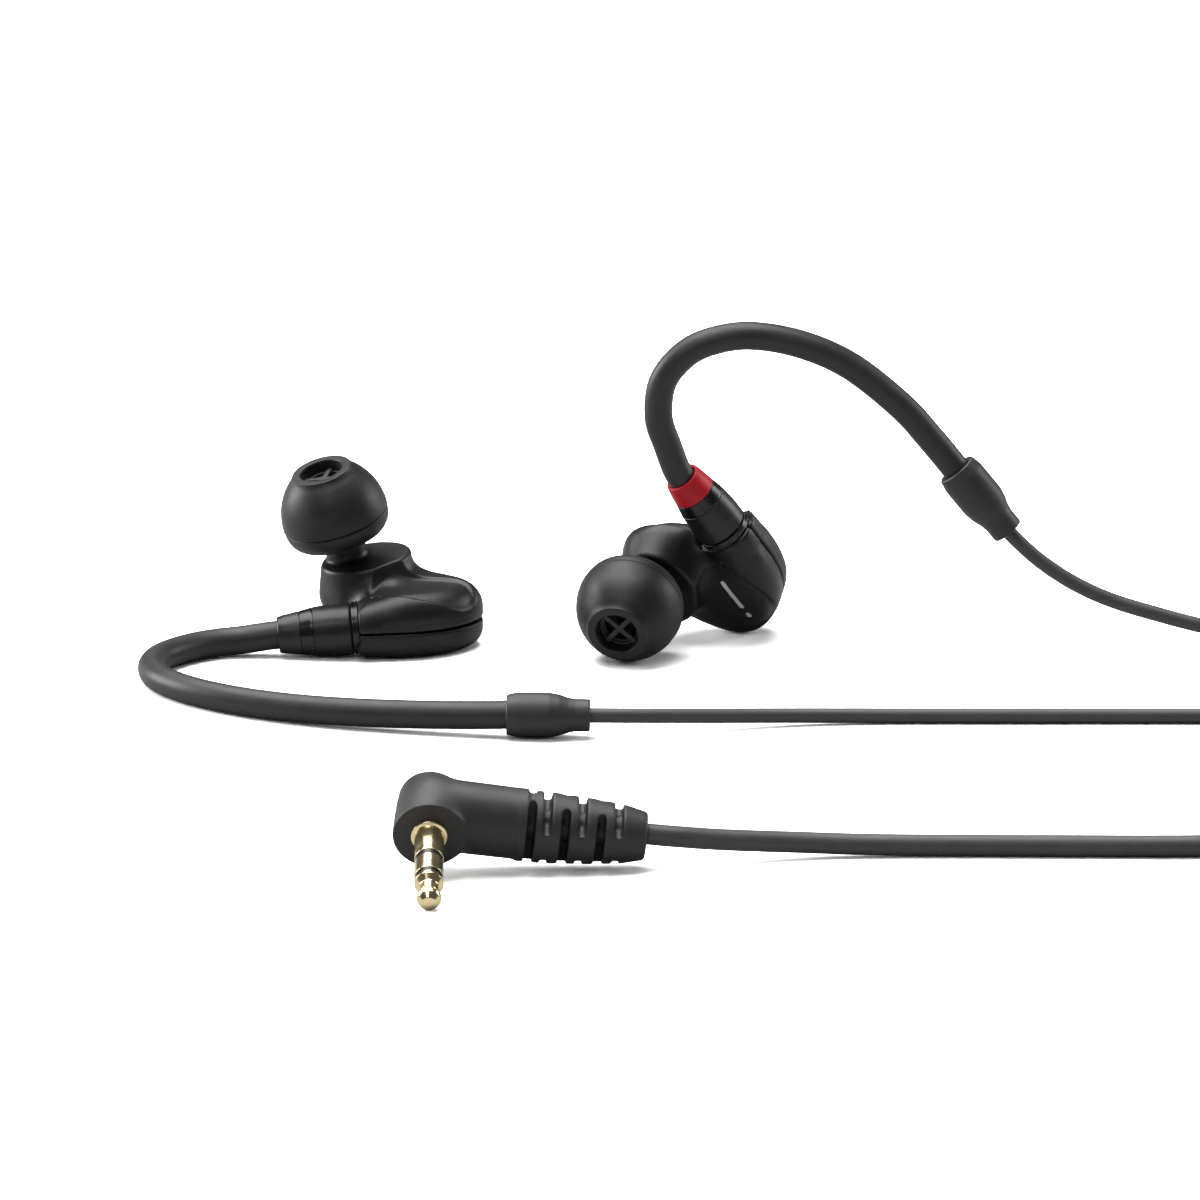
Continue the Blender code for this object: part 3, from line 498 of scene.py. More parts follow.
def add_light(name, place, size, power, target=(0, -0.02, 0.01)):
    data = bpy.data.lights.new(name, "AREA")
    data.shape = "RECTANGLE"
    data.size, data.size_y = size
    data.energy = power
    made = placed(name, data)
    made.location = place
    made.rotation_mode = "QUATERNION"
    made.rotation_quaternion = (Vector(place) - Vector(target)).to_track_quat("Z", "Y")


def seen_and_lit(tree, output_kind, shader_kind, socket):
    """Two shaders, the first for what the camera sees and the second for what lights."""
    tree.nodes.clear()
    output = tree.nodes.new(output_kind)
    seen, lit = tree.nodes.new(shader_kind), tree.nodes.new(shader_kind)
    path, mix = tree.nodes.new("ShaderNodeLightPath"), tree.nodes.new("ShaderNodeMixShader")
    tree.links.new(path.outputs["Is Camera Ray"], mix.inputs["Fac"])
    tree.links.new(lit.outputs[0], mix.inputs[1])
    tree.links.new(seen.outputs[0], mix.inputs[2])
    tree.links.new(mix.outputs["Shader"], output.inputs["Surface"])
    return seen.inputs[socket], lit.inputs[socket]


def add_stage():
    """A pale floor and a soft studio.  The floor and the sky look brighter than they light."""
    half = 30.0
    mesh = bpy.data.meshes.new("floor")
    mesh.from_pydata([(-half, -half, 0), (half, -half, 0), (half, half, 0), (-half, half, 0)],
                     [], [(0, 1, 2, 3)])
    floor = placed("floor", mesh)
    pale = bpy.data.materials.new("floor_pale")
    pale.use_nodes = True
    seen, lit = seen_and_lit(pale.node_tree, "ShaderNodeOutputMaterial",
                             "ShaderNodeBsdfDiffuse", "Color")
    seen.default_value = (2.3, 2.3, 2.3, 1)
    lit.default_value = (0.42, 0.42, 0.42, 1)
    mesh.materials.append(pale)

    world = bpy.data.worlds.new("studio")
    bpy.context.scene.world = world
    world.use_nodes = True
    seen, lit = seen_and_lit(world.node_tree, "ShaderNodeOutputWorld",
                             "ShaderNodeBackground", "Strength")
    seen.default_value, lit.default_value = 1.0, 0.10

    add_light("top_softbox", (-0.2, 0.25, 1.25), (1.3, 1.5), 31)
    add_light("left_softbox", (-1.25, 0.4, 0.42), (0.7, 0.7), 15)
    add_light("right_softbox", (1.25, 0.5, 0.42), (0.6, 0.6), 6)
    add_light("front_softbox", (-0.5, -1.5, 1.5), (0.8, 0.5), 4)
    bpy.context.scene.view_settings.view_transform = "Standard"


add_camera()
add_stage()


# ---- Cords
def wound(centre, entry, turns, slots):
    """Clockwise turns from an entry angle in degrees.  Each turn ends by easing to the next
    slot, and a slot is (radius, height)."""
    count = int(round(turns * TURN_POINTS))
    points = []
    for mark in np.arange(count + 1) * turns / count:
        index = min(int(mark), len(slots) - 1)
        following = min(index + 1, len(slots) - 1)
        share = float(smoothed((mark - index - EASE_START) / EASE_LENGTH))
        radius, height = (1 - share) * np.array(slots[index]) + share * np.array(slots[following])
        angle = math.radians(entry) - 2 * math.pi * mark
        points.append((centre[0] + radius * math.cos(angle),
                       centre[1] + radius * math.sin(angle), height))
    return points


def slot_places(middle, radius, base, wide, high):
    """Centres of a coil's slots as {(row, column): (radius, height)}, column 0 outermost."""
    return {(row, column): (middle + radius * (wide - 1 - 2 * column),
                            base + radius * (1 + 2 * row))
            for row in range(high) for column in range(wide)}


def add_cord(name, route, radius, look, stands_for, bodies, girth=1.0, **facts):
    """A cord along a route.  Its facts are not used.  `bodies` is one body that it rides on;
    given more, only their count is read: it rides on none and its mesh is baked in place.  The
    girth is the share of the radius at each point."""
    points, faces = swept(route, radius * girth, 24)
    made = piece(name, points, faces, look, bodies[0] if len(bodies) == 1 else None, stands_for)
    if len(bodies) > 1:
        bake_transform(made)


def sleeve_end(sleeve):
    """Where a lead starts inside its sleeve, and where it comes out."""
    start, end = (np.array(point) for point in sleeve)
    return end + LEAD_HIDDEN * (start - end) / np.linalg.norm(start - end), end


def add_cords():
    lower = slot_places(LEAD_COIL_RADIUS, LEAD_RADIUS, COIL_REST, 3, 2)
    upper = slot_places(LEAD_COIL_RADIUS, LEAD_RADIUS, COIL_REST + COIL_GAP + 4 * LEAD_RADIUS, 3, 2)
    right_coil = wound(LEAD_COIL_CENTRE, 90, 4.25, [
        lower[0, 0], lower[0, 1], lower[0, 2], lower[1, 2], lower[1, 0]])
    left_coil = wound(LEAD_COIL_CENTRE, 180, 3.53, [
        upper[0, 0], upper[0, 1], upper[0, 2], upper[1, 1], upper[1, 0]])
    rows = slot_places(MAIN_COIL_RADIUS, MAIN_RADIUS, COIL_REST, 3, 3)
    main_coil = wound(MAIN_COIL_CENTRE, -62, 8.08, [
        rows[0, 0], rows[0, 1], rows[0, 2], rows[1, 2], rows[2, 2], rows[2, 1], rows[2, 0],
        rows[1, 0], rows[1, 0]])

    inside, end = sleeve_end(RIGHT_SLEEVE)
    route = curve_through([inside, *RIGHT_LEAD, *right_coil, *RIGHT_TAIL], LEAD_STEP)
    away = np.linalg.norm(route[:BEFORE_COIL] - np.array(RIGHT_LEAD[RIGHT_SPLIT]), axis=1)
    split = int(np.argmin(away))
    first, last = split - RIGHT_OVERLAP, split + RIGHT_OVERLAP
    upper_route, lower_route = route[:last + 1], route[first:]
    narrow = np.linspace(OVERLAP_GIRTH, 1, 2 * RIGHT_OVERLAP + 1)
    upper_girth, lower_girth = np.ones(len(upper_route)), np.ones(len(lower_route))
    upper_girth[-len(narrow):], lower_girth[:len(narrow)] = narrow[::-1], narrow
    add_cord("lead_right_upper", upper_route, LEAD_RADIUS, "lead", ["lead_right"],
             ("hook_right", "earpiece_right", tuple(end * MM), tuple(route[first] * MM)),
             girth=upper_girth, exit=tuple(end * MM), length=0.031, far_end="object", lay="loose")
    add_cord("lead_right_lower", lower_route, LEAD_RADIUS, "lead",
             ["lead_right", "lead_coil_right", "lead_tail_right"],
             ("earpiece_right", ROOT, tuple(route[last] * MM),
              tuple(np.array(RIGHT_LEAD[-1]) * MM)),
             girth=lower_girth, exit=tuple(route[first] * MM), length=0.336, far_end="object",
             lay="coiled", with_pieces=["slider"])

    inside, end = sleeve_end(LEFT_SLEEVE)
    route = curve_through([inside, *LEFT_LEAD, *left_coil, *LEFT_TAIL], LEAD_STEP)
    add_cord("lead_left_cord", route, LEAD_RADIUS, "lead",
             ["lead_left", "lead_coil_left", "lead_tail_left"], (ROOT,),
             exit=tuple(end * MM), length=0.374, far_end="object", lay="coiled")
    route = curve_through([*MAIN_HEAD, *main_coil, *MAIN_TAIL], MAIN_STEP)
    add_cord("main_cord", route, MAIN_RADIUS, "main_lead",
             ["main_lead", "main_lead_head", "main_coil"], (ROOT,),
             exit=tuple(np.array(SPLITTER[1]) * MM), length=0.845, far_end="plug", lay="coiled",
             with_pieces=["plug", "pin_sleeve", "pin_ring", "pin_tip", "splitter"])


# ---- Housing
def outline_table(step=0.1):
    """Signed distance to the housing's outline on a grid, negative inside."""
    ring = curve_through(HOUSING_OUTLINE, 0.35, closed=True)
    after = np.roll(ring, -1, axis=0)
    xs, ys = (np.arange(low, high, step) for low, high in zip(OUTLINE_LOW, OUTLINE_HIGH))
    grid = np.stack(np.meshgrid(xs, ys, indexing="ij"), -1).reshape(-1, 2)
    nearest, inside = np.full(len(grid), 1e9), np.zeros(len(grid), bool)
    for a, b in zip(ring, after):
        edge = b - a
        share = np.clip((grid - a) @ edge / (edge @ edge), 0, 1)
        nearest = np.minimum(nearest, np.linalg.norm(grid - a - share[:, None] * edge, axis=1))
        spans = (a[1] > grid[:, 1]) != (b[1] > grid[:, 1])
        with np.errstate(divide="ignore", invalid="ignore"):
            cross = a[0] + (grid[:, 1] - a[1]) * edge[0] / edge[1]
        inside ^= spans & (grid[:, 0] < cross)
    return np.where(inside, -nearest, nearest).reshape(len(xs), len(ys)), OUTLINE_LOW, step


OUTLINE = outline_table()


def outline_distance(points):
    """The outline's signed distance at each point, between the table's entries."""
    table, corner, step = OUTLINE
    place = (points[:, :2] - corner) / step
    place = np.clip(place, 0, np.array(table.shape) - 1.001)
    cell = place.astype(int)
    part = place - cell
    x, y = cell.T
    return ((1 - part[:, 0]) * (1 - part[:, 1]) * table[x, y]
            + part[:, 0] * (1 - part[:, 1]) * table[x + 1, y]
            + (1 - part[:, 0]) * part[:, 1] * table[x, y + 1]
            + part[:, 0] * part[:, 1] * table[x + 1, y + 1])


def slab(across, height, top, edge):
    """Distance to a slab with a rounded edge, from the distance to its outline."""
    outward, upward = across + edge, height - top + edge
    return (np.minimum(np.maximum(outward, upward), 0)
            + np.hypot(np.maximum(outward, 0), np.maximum(upward, 0)) - edge)


def near_socket(points, reach):
    """1 at the socket's mouth, falling to 0 at `reach` from it."""
    return smoothed(1 - np.hypot(points[:, 0] + 0.6, points[:, 1] * 0.8) / reach)


def pod_field(points):
    """The flat part of the housing, thinner and rounder by the socket and at the far side."""
    across, z = outline_distance(points), points[:, 2]
    crown = 0.0022 * ((points[:, 0] - 7.0) ** 2 + (points[:, 1] - 5.0) ** 2)
    top = FRONT_HEIGHT + 0.12 - 1.28 * near_socket(points, 7.0)
    far_side = smoothed((7.0 - points[:, 0]) / 6.0) * smoothed((points[:, 1] - 1.0) / 4.0)
    rounding = REAR_EDGE + np.maximum(0.9 * near_socket(points, 6.0), 1.2 * far_side)
    bottom = REAR_HEIGHT - 0.12 * near_socket(points, 5.0) - 0.9 * far_side
    return np.where(z > 0, slab(across, z + crown, top, FRONT_EDGE),
                    slab(across, -z, bottom, rounding))


def turret_field(points):
    """Distances to the driver turret's wall and to its sloping top."""
    x, y = (points[:, :2] - TURRET_CENTRE).T
    round_part = (np.hypot(x, y / TURRET_DEPTH) - TURRET_RADIUS) * 0.93
    lean = math.sqrt(1 + TURRET_SLOPE[0] ** 2 + TURRET_SLOPE[1] ** 2)
    top = (points[:, 2] - TURRET_HEIGHT - TURRET_SLOPE[0] * x - TURRET_SLOPE[1] * y) / lean
    return round_part, top


def pad_depth(points):
    """How far the oval pad lies below the housing's surface."""
    lean = math.radians(PAD_TILT)
    x, y = (points[:, :2] - PAD_CENTRE).T
    along, across = x * math.cos(lean) + y * math.sin(lean), y * math.cos(lean) - x * math.sin(lean)
    edge = (np.hypot(along / PAD_HALF[0], across / PAD_HALF[1]) - 1) * PAD_HALF[1]
    return PAD_SINK * smoothed(0.5 - edge / 0.6) * smoothed((points[:, 2] - 0.4) / 2.4)


def at_socket(points, radius, low, high):
    """A rod on the connector's axis."""
    return rod_field(points, (0, 0, 0), CONNECTOR_AXIS, radius, low, high)


def neck_field(points):
    return at_socket(points, NECK_RADIUS, -NECK_DEPTH, SOCKET_MOUTH)


def socket_field(points):
    return at_socket(points, SOCKET_RADIUS, -SOCKET_DEPTH, 3.0)


def housing_field(points):
    """The outside of one earpiece, front and rear together."""
    round_part, top = turret_field(points)
    turret = common(round_part, top, blend=0.55)
    turret = common(turret, 0.15 + 0.1 * np.maximum(-points[:, 0], 0) - points[:, 2],
                    blend=1.7)
    body = joined(pod_field(points), turret, blend=3.0) + pad_depth(points)
    body = joined(body, neck_field(points), blend=0.5)
    nozzle = rod_field(points, NOZZLE_BASE, NOZZLE_AXIS, NOZZLE_RADIUS, -4.2, NOZZLE_END)
    return joined(body, nozzle, blend=0.9)


def hollow(points):
    """The cavity, the nozzle's bore and the socket."""
    round_part, top = turret_field(points)
    inner = joined(pod_field(points) + WALL,
                   np.maximum(np.maximum(round_part, top) + WALL, 1.2 - points[:, 2]))
    bore = rod_field(points, NOZZLE_BASE, NOZZLE_AXIS, NOZZLE_BORE, -5.0, NOZZLE_END + 2)
    return joined(inner, bore, socket_field(points))


def mouth(points):
    """What is cut away in front of the socket, for the connector."""
    return at_socket(points, MOUTH_RADIUS, SOCKET_MOUTH, 4.0)


def seam(points):
    """Half the gap between the shells; it opens a little at the far end."""
    return SEAM_HALF + SEAM_OPENING * smoothed((points[:, 0] - 8.0) / 7.0)


def front_field(points):
    """The front shell, with its turret and nozzle."""
    outside = common(housing_field(points), seam(points) - points[:, 2], -mouth(points),
                     blend=0.3)
    return np.maximum(outside, -hollow(points))


def rear_field(points):
    """The rear cover, with a lip inside the seam."""
    across = outline_distance(points)
    outside = common(joined(pod_field(points), neck_field(points), blend=0.5),
                     points[:, 2] + seam(points), -mouth(points), blend=0.3)
    shell = np.maximum(np.maximum(outside, -REAR_HEIGHT - points[:, 2]), -hollow(points))
    lip = np.maximum(np.abs(across + 1.25) - 0.3, np.abs(points[:, 2] + 0.3) - 0.6)
    return joined(shell, np.maximum(lip, -socket_field(points)))


# Each side's socket, angles, and the bodies of its hook, its earpiece and its ear tip
SIDES = {"left": (LEFT_SOCKET, LEFT_ANGLES, ROOT, "earpiece_left", "tip_left"),
         "right": (RIGHT_SOCKET, RIGHT_ANGLES, "hook_right", "earpiece_right", ROOT)}


def place_of(side):
    """The turn and origin that put an earpiece's own frame in place."""
    socket, angles = SIDES[side][:2]
    turn = np.eye(3)
    for angle, axis in zip(angles, "XYZ"):
        turn = np.array(Matrix.Rotation(math.radians(angle), 3, axis)) @ turn
    if side == "right":
        turn = turn @ np.diag((1.0, -1.0, 1.0))
    return turn, socket


def sub_frame(shape, base, axis):
    """Moves a shape that stands along +Z onto an axis of the earpiece's frame."""
    points, faces = shape
    turn = np.array(Vector(axis).normalized().to_track_quat("Z", "Y").to_matrix())
    return np.asarray(points) @ turn.T + np.array(base, float), faces


def on_surface(field, centre, reach, low, high):
    """A sheet's height at each point of a flat shape, by halving on the field."""
    bottom, top = np.full(len(centre), low), np.full(len(centre), high)
    for _ in range(24):
        middle = (bottom + top) / 2
        inside = field(np.column_stack([centre, middle])) < 0
        bottom, top = np.where(inside, middle, bottom), np.where(inside, top, middle)
    return bottom + reach


def stadium(start, end, radius, rows=40, across=8):
    """A flat bar with round ends, as rows of points from end to end."""
    start, end = np.array(start, float), np.array(end, float)
    half = np.linalg.norm(end - start) / 2
    along = (end - start) / (2 * half)
    side = np.array((-along[1], along[0]))
    marks = -np.cos(np.linspace(0, math.pi, rows)) * (half + radius)
    width = np.sqrt(np.maximum(radius ** 2 - np.maximum(np.abs(marks) - half, 0) ** 2, 1e-5))
    points = [(start + end) / 2 + mark * along + spread * wide * side
              for mark, wide in zip(marks, width) for spread in np.linspace(-1, 1, across)]
    return np.array(points), rows, across


def printed(field, bars, reach, low, high):
    """Raised ink on the surface: each bar has a top and a buried underside."""
    points, faces = [], []
    for bar in bars:
        flat, rows, across = stadium(*bar)
        for lift in (reach, -0.12):
            base = sum(len(block) for block in points)
            points.append(np.column_stack([flat, on_surface(field, flat, lift, low, high)]))
            for row in range(rows - 1):
                for column in range(across - 1):
                    here = base + row * across + column
                    quad = (here, here + across, here + across + 1, here + 1)
                    faces.append(quad if lift < 0 else quad[::-1])
    return np.concatenate(points), faces


def grille_field(points):
    """A ring with a cross, in the nozzle's mouth."""
    x, y, z = points.T
    z = z + GRILLE_DROP
    lean = math.radians(GRILLE_ANGLE)
    arms = (x * math.cos(lean) + y * math.sin(lean), y * math.cos(lean) - x * math.sin(lean))
    reach = np.hypot(x, y)
    hub = np.maximum(np.abs(reach - 2.35) - 0.15, np.abs(z - 8.06) - 0.16)
    bars = [common(np.abs(arm) - 0.33, np.maximum(reach - 2.5, np.abs(z - 8.35) - 0.18),
                   blend=0.12) for arm in arms]
    return joined(hub, *bars, blend=0.15)


TIP_DOME = ((6.58, 2.66), (6.54, 3.4), (6.36, 4.5), (5.98, 5.7), (5.4, 6.8), (4.66, 7.8),
            (4.02, 8.48), (3.77, 8.84))
TIP_SKIRT = ((5.1, 0.02), (5.75, 0.35), (6.22, 0.95), (6.46, 1.7), (6.52, 2.48))
TIP_INSIDE = (
    (3.7, 9.0, 0.05), (3.6, 9.05, 0.05), (2.74, 9.02, 0.07), (2.64, 8.9, 0.08), (2.56, 7.6, 0.1),
    (2.54, 0.9, 0.1), (3.5, 0.9, 0.3), (3.5, 5.6, 0.4), (4.4, 5.5, 0.5), (5.3, 4.0, 1.0),
    (5.8, 2.4, 0.8), (5.6, 1.2, 0.6), (4.95, 0.15, 0.1))


def tip_profile():
    """The ear tip's section: skirt, crease, dome, flat rim and the hollow inside."""
    rows = [(*point, 0) for point in curve_through(TIP_SKIRT, 0.3)]
    rows += [(6.3, 2.56, 0.02)]
    rows += [(*point, 0) for point in curve_through(TIP_DOME, 0.3)]
    return filleted([*rows, *TIP_INSIDE], step=0.3, closed=True)


BODY_PROFILE = (
    (1.5, 0.35, 0.1), (2.95, 0.35, 0.1), (3.2, 0.6, 0.2), (3.21, 2.4, 1.0), (3.01, 5.0, 0.1),
    (1.5, 5.0, 0.1))
BAND_PROFILE = (
    (1.2, 5.03), (2.96, 5.03, 0.05), (2.94, 5.3, 0.2), (2.68, 6.62, 0.06), (1.2, 6.62))
RING_PROFILE = (
    (1.77, 6.66, 0.05), (2.68, 6.66, 0.06), (2.36, 8.7, 0.5), (2.2, 9.3, 0.14), (2.1, 9.4, 0.1),
    (1.85, 9.4, 0.1), (1.77, 9.2, 0.1))
COLLAR_PROFILE = (
    (1.95, -0.5), (3.24, -0.5, 0.06), (3.24, -0.3, 0.06), (3.16, -0.24, 0.04), (3.18, 0.3, 0.06),
    (1.95, 0.3))
SLEEVE_PROFILE = (
    (1.76, 0.12, 0.08), (2.3, 0.0, 0.1), (2.46, 0.12, 0.1), (2.72, 1.3, 0.5), (2.74, 3.2, 1.0),
    (2.72, 5.2, 1.2), (2.5, 6.4, 1.0), (2.12, 7.5, 0.9), (1.99, 8.3, 0.5), (1.97, 9.95, 0.1),
    (1.86, 10.1, 0.1), (0.98, 10.1, 0.08), (0.93, 9.9, 0.1), (0.93, 3.4), (1.76, 3.4))
MESH_PROFILE = ((0.0, 6.8), (0.6, 6.86), (1.2, 6.82), (1.8, 6.78), (1.8, 6.6), (0.0, 6.6))


def add_earpiece(side, shells):
    """One earpiece with its connector, ear hook and sleeve."""
    hook_body, body, tip_body = SIDES[side][2:]
    place, mirrored = place_of(side), side == "right"

    def add(name, shape, look, on, base=None, axis=None):
        points, faces = sub_frame(shape, base, axis) if base else shape
        return piece(name + "_piece_" + side, points, faces, look, on, [name + "_" + side],
                     place, mirrored)

    nozzle, socket = (NOZZLE_BASE, NOZZLE_AXIS), ((0, 0, 0), CONNECTOR_AXIS)
    add("front_shell", shells[0], "housing", body)
    add("rear_cover", shells[1], "housing", body)
    add("ear_tip", turned(tip_profile(), 96), "silicone", tip_body, *nozzle)
    add("nozzle_grille", skin(grille_field, (-2.8, -2.8, 7.0), (2.8, 2.8, 8.3), 0.09), "grille",
        body, *nozzle)
    add("nozzle_mesh", turned(filleted(MESH_PROFILE, 0.05), 48, False), "acoustic_mesh",
        body, *nozzle)
    for name, profile, fillet, look, on in (
            ("socket_collar", COLLAR_PROFILE, 0.05, "gloss", body),
            ("connector_body", BODY_PROFILE, 0.15, "connector", hook_body),
            ("connector_band", BAND_PROFILE, 0.15, "gloss", hook_body),
            ("marker_ring", RING_PROFILE, 0.15, "marker_" + side, hook_body)):
        add(name, turned(filleted(profile, fillet, closed=True), 96), look, on, *socket)
    for number, spread in ((1, -1.0), (2, 1.0)):
        pin = turned(filleted(((0, -3.6), (0.35, -3.6, 0.3), (0.35, 1.9, 0.1), (0, 1.9))), 24,
                     False)
        add("contact_pin_%d" % number, (pin[0] + (0, spread, 0), pin[1]), "gold", hook_body,
            *socket)

    turn, origin = place
    along = turn @ np.array(CONNECTOR_AXIS)
    sleeve, bends = (LEFT_SLEEVE, LEFT_HOOK) if side == "left" else (RIGHT_SLEEVE, RIGHT_HOOK)
    start, end = (np.array(point) for point in sleeve)
    down = (end - start) / np.linalg.norm(end - start)
    route = curve_through([origin + along * 7.2, origin + along * 10.2, *bends, start,
                           start + down * 2.9], 0.6)
    points, faces = swept(route, HOOK_RADIUS, 40)
    piece("ear_hook_piece_" + side, points, faces, "hook", hook_body, ["ear_hook_" + side])
    points, faces = sub_frame(turned(filleted(SLEEVE_PROFILE, closed=True), 80), start, down)
    piece("hook_sleeve_piece_" + side, points, faces, "moulded_rubber", hook_body,
          ["hook_sleeve_" + side])


def add_marks(side):
    """A plain printed bar and dot on the right pad, and a raised ring beside each socket."""
    place, mirrored = place_of(side), side == "right"
    body = SIDES[side][3]
    if side == "right":
        bars = [((4.9, 2.45), (9.5, 2.85), 0.30), ((11.0, 2.98), (11.3, 3.0), 0.30)]
        points, faces = printed(housing_field, bars, 0.03, 2.5, 6.0)
        piece("pad_mark_" + side, points, faces, "print", body, (), place, mirrored)
    ring = turned(filleted(((0.34, 0.0), (0.66, 0.0, 0.02), (0.62, 0.16, 0.06),
                            (0.38, 0.16, 0.06)), closed=True), 40)
    spot = np.array([(2.5, 0.6)])
    height = on_surface(housing_field, spot, -0.04, 2.0, 6.0)[0]
    points, faces = sub_frame(ring, (2.5, 0.6, height), (-0.12, 0.05, 1.0))
    piece("side_mark_" + side, points, faces, "housing", body, (), place, mirrored)


# ---- Splitter, slider and ties
def tube_at(points, x, radius):
    """A bore along y for a cord."""
    return np.hypot(points[:, 0] - x, points[:, 2]) - radius


def slider_field(points):
    """A short oval barrel with grip rings and a bore for each lead."""
    x, y, z = points.T
    waist = 1 - 0.06 * (y / 3.5) ** 2
    shell = (np.hypot(x / 1.46, z) / waist - 2.8) * 0.85
    solid = common(shell, np.abs(y) - 3.45, blend=1.0)
    grip = np.minimum.reduce([np.hypot(y - row, shell) - 0.2
                              for row in (-1.6, -0.8, 0.0, 0.8, 1.6)])
    solid = common(solid, -grip, blend=0.12)
    for side in (-ENTRY_OFFSET, ENTRY_OFFSET):
        solid = common(solid, -tube_at(points, side, 1.1), blend=0.25)
    return solid


def splitter_field(points):
    """A flattened horn, from two leads to one."""
    x, y, z = points.T
    along = -y
    places = (0, 1.2, 5.0, 8.5, 11.0, 14.0)
    wide = np.interp(along, places, (3.45, 3.6, 3.5, 2.8, 2.2, 2.0))
    tall = np.interp(along, places, (2.5, 2.65, 2.75, 2.6, 2.2, 2.0))
    across = np.hypot(x / wide, z / tall)
    solid = common((across - 1) * np.minimum(wide, tall), np.abs(along - 7.0) - 6.98, blend=0.5)
    groove = np.hypot(along - 9.4, (across - 1) * tall) - 0.22
    solid = common(solid, -groove, blend=0.15)
    for side in (-ENTRY_OFFSET, ENTRY_OFFSET):
        entry = np.maximum(tube_at(points, side, 0.93), along - 1.0)
        solid = common(solid, -entry, blend=0.2)
    return common(solid, -np.maximum(tube_at(points, 0, 1.32), 13.4 - along), blend=0.15)


def strap_field(half_wide, tall):
    """A strap loop in its own frame: x across the turns, z up from the floor."""
    def field(points):
        x, y, z = points[:, 0], points[:, 1], points[:, 2] - tall / 2
        outward = np.abs(x) - half_wide + STRAP_CORNER
        upward = np.abs(z) - tall / 2 + STRAP_CORNER
        loop = (np.hypot(np.maximum(outward, 0), np.maximum(upward, 0))
                + np.minimum(np.maximum(outward, upward), 0) - STRAP_CORNER)
        band = common(np.abs(loop + 0.3) - 0.28, np.abs(y) - STRAP_HALF_WIDTH, blend=0.2)
        tail = common(np.abs(loop - 0.2) - 0.22, np.maximum(np.abs(y) - 1.85, 0.6 - z), blend=0.2)
        return joined(band, np.maximum(tail, x - half_wide * 0.4), blend=0.1)
    return field


def add_strap(name, stands_for, centre, coil_radius, half_width, height, angle):
    wide, tall = half_width + STRAP_ROOM[0], height + STRAP_ROOM[1]
    points, faces = skin(strap_field(wide, tall), (-wide - 0.8, -2.3, -0.3),
                         (wide + 0.8, 2.3, tall + 0.8), 0.2)
    turn = np.array(Matrix.Rotation(math.radians(angle), 3, "Z"))
    origin = np.array((*centre, 0.02)) + turn @ np.array((coil_radius, 0, 0))
    piece(name, points, faces, "strap", ROOT, [stands_for], (turn, origin))


def add_fittings():
    points, faces = skin(slider_field, (-4.5, -3.8, -3.2), (4.5, 3.8, 3.2), 0.17)
    piece("slider", points, faces, "moulded_rubber", "slider", ["chin_slider"],
          (np.eye(3), SLIDER_CENTRE))
    points, faces = skin(splitter_field, (-4.0, -14.4, -3.2), (4.0, 0.4, 3.2), 0.19)
    piece("splitter", points, faces, "moulded_rubber", ROOT, ["y_splitter"],
          (np.eye(3), SPLITTER[0]))
    add_strap("lead_strap", "lead_tie", LEAD_COIL_CENTRE, LEAD_COIL_RADIUS, 3 * LEAD_RADIUS,
              8 * LEAD_RADIUS + COIL_GAP, 40)
    add_strap("main_strap", "main_tie", MAIN_COIL_CENTRE, MAIN_COIL_RADIUS, 3 * MAIN_RADIUS,
              6 * MAIN_RADIUS, 60)


# ---- Plug
def plug_field(points):
    """The moulded plug: a round head, a neck and a boot with slots on three sides."""
    x, y, z = points.T
    girth = np.interp(-z, *HEAD_GIRTH)
    head = common((np.hypot(x, y + 0.16) - girth) * 0.98, -HEAD_LENGTH - z, blend=1.1)
    head = common(head, z, blend=0.3)
    lift = z + PLUG_DEPTH
    raised = np.interp(x, *NECK_RISE)
    neck = np.hypot((y - raised) / 1.05, lift) - np.interp(x, *NECK_GIRTH)
    neck = common(neck * 0.97, -2.2 - x, blend=3.4)
    body = joined(head, np.maximum(neck, x - 11.6), blend=1.5)
    body = np.maximum(body, np.where(np.hypot(x, y) < 4.6, z, -50.0))
    around = np.hypot(y, lift)
    sleeve = np.interp(x, [p[0] for p in BOOT_PROFILE], [p[1] for p in BOOT_PROFILE])
    boot = (np.hypot(y + BOOT_DROP, lift) - sleeve - 0.2) * 0.98
    boot = common(boot, np.abs(x - BOOT_MIDDLE) - BOOT_HALF, blend=0.4)
    cuts = []
    for place in TOP_SLOTS:
        above = np.maximum(1.45 - y, 0)
        cuts.append(np.hypot(np.maximum(np.abs(x - place) - 0.08, 0), above) - SLOT_HALF)
    for place in SIDE_SLOTS:
        over = np.maximum(y - 3.25 + 0.09 * (place - SIDE_SLOTS[0]), 0)
        slot = np.hypot(np.maximum(np.abs(x - place) - 0.1, 0), over) - SLOT_HALF
        cuts.append(np.maximum(slot, 0.9 - np.abs(lift)))
    for place in TOP_SLOTS:
        below = np.maximum(y + 3.3 - 0.04 * (place - 14), 0)
        cuts.append(np.hypot(np.abs(x - place), below) - SLOT_HALF)
    core = np.maximum(around - CORE_RADIUS, np.abs(x - BOOT_MIDDLE) - 7.6)
    solid = joined(body, boot, blend=0.3)
    solid = joined(common(solid, -joined(*cuts), blend=0.25), core, blend=0.3)
    return common(solid, -np.maximum(around - CORD_BORE, BORE_START - x), blend=0.2)


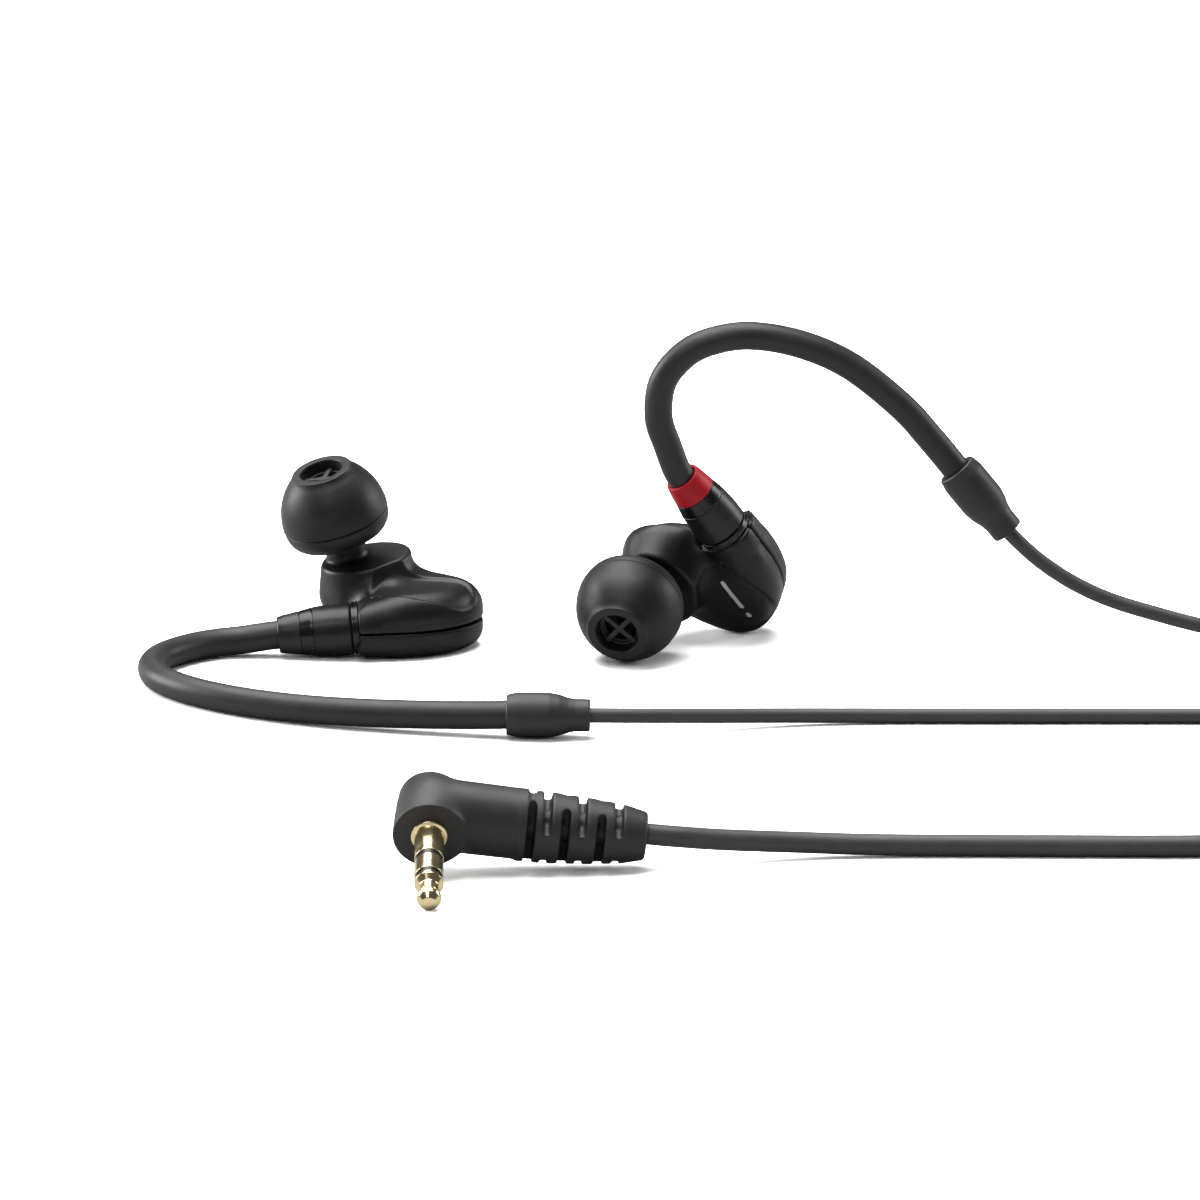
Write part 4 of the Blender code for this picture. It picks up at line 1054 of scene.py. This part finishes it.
PIN_PIECES = (
    ("pin_sleeve", "jack_sleeve", "gold", (
        (0, -0.6), (2.2, -0.6), (2.2, 0.55, 0.15), (1.8, 0.72, 0.1), (1.75, 5.5, 0.08),
        (0, 5.5))),
    ("pin_insulator_1", "jack_insulator_1", "insulator", (
        (0, 5.5), (1.7, 5.5, 0.03), (1.7, 6.4, 0.03), (0, 6.4))),
    ("pin_ring", "jack_ring", "gold", ((0, 6.4), (1.75, 6.4, 0.08), (1.75, 9.4, 0.08), (0, 9.4))),
    ("pin_insulator_2", "jack_insulator_2", "insulator", (
        (0, 9.4), (1.7, 9.4, 0.03), (1.7, 10.2, 0.03), (0, 10.2))),
    ("pin_tip", "jack_tip", "gold", (
        (0, 10.2), (1.75, 10.2, 0.08), (1.75, 10.75, 0.12), (1.2, 11.5, 0.3), (1.15, 12.8, 0.4),
        (1.5, 13.65, 0.25), (1.4, 14.25, 0.3), (0.85, 14.9, 0.3), (0.3, 15.1, 0.1), (0, 15.1))))


def add_plug():
    pin = Vector((0, -math.cos(math.radians(PLUG_PITCH)), -math.sin(math.radians(PLUG_PITCH))))
    boot = Matrix.Rotation(math.radians(PLUG_ROLL), 3, pin) @ Vector((1, 0, 0))
    turn = np.array(Matrix((boot, pin.cross(boot), pin)).transposed())
    place = (turn, PLUG_FACE)
    points, faces = skin(plug_field, (-4.8, -4.8, -9.7), (26.6, 4.8, 0.4), 0.17)
    piece("plug", points, faces, "moulded_rubber", ROOT, ["plug_body"], place)
    for name, node, look, profile in PIN_PIECES:
        points, faces = turned(filleted(profile, 0.08, 0.15), 72, False)
        piece(name, points, faces, look, ROOT, [node], place)


SHELLS = (skin(front_field, HOUSING_LOW, HOUSING_HIGH, SHELL_STEP),
          skin(rear_field, HOUSING_LOW, REAR_HIGH, SHELL_STEP))
for which in SIDES:
    add_earpiece(which, SHELLS)
    add_marks(which)
add_fittings()
add_plug()
add_cords()

shown = {row["node"]: row["material_slot"] for row in frame["record"]["subparts"]}
for name, node in frame["nodes"].items():
    node.data.materials.clear()
    node.data.materials.append(LOOKS[shown[name]])
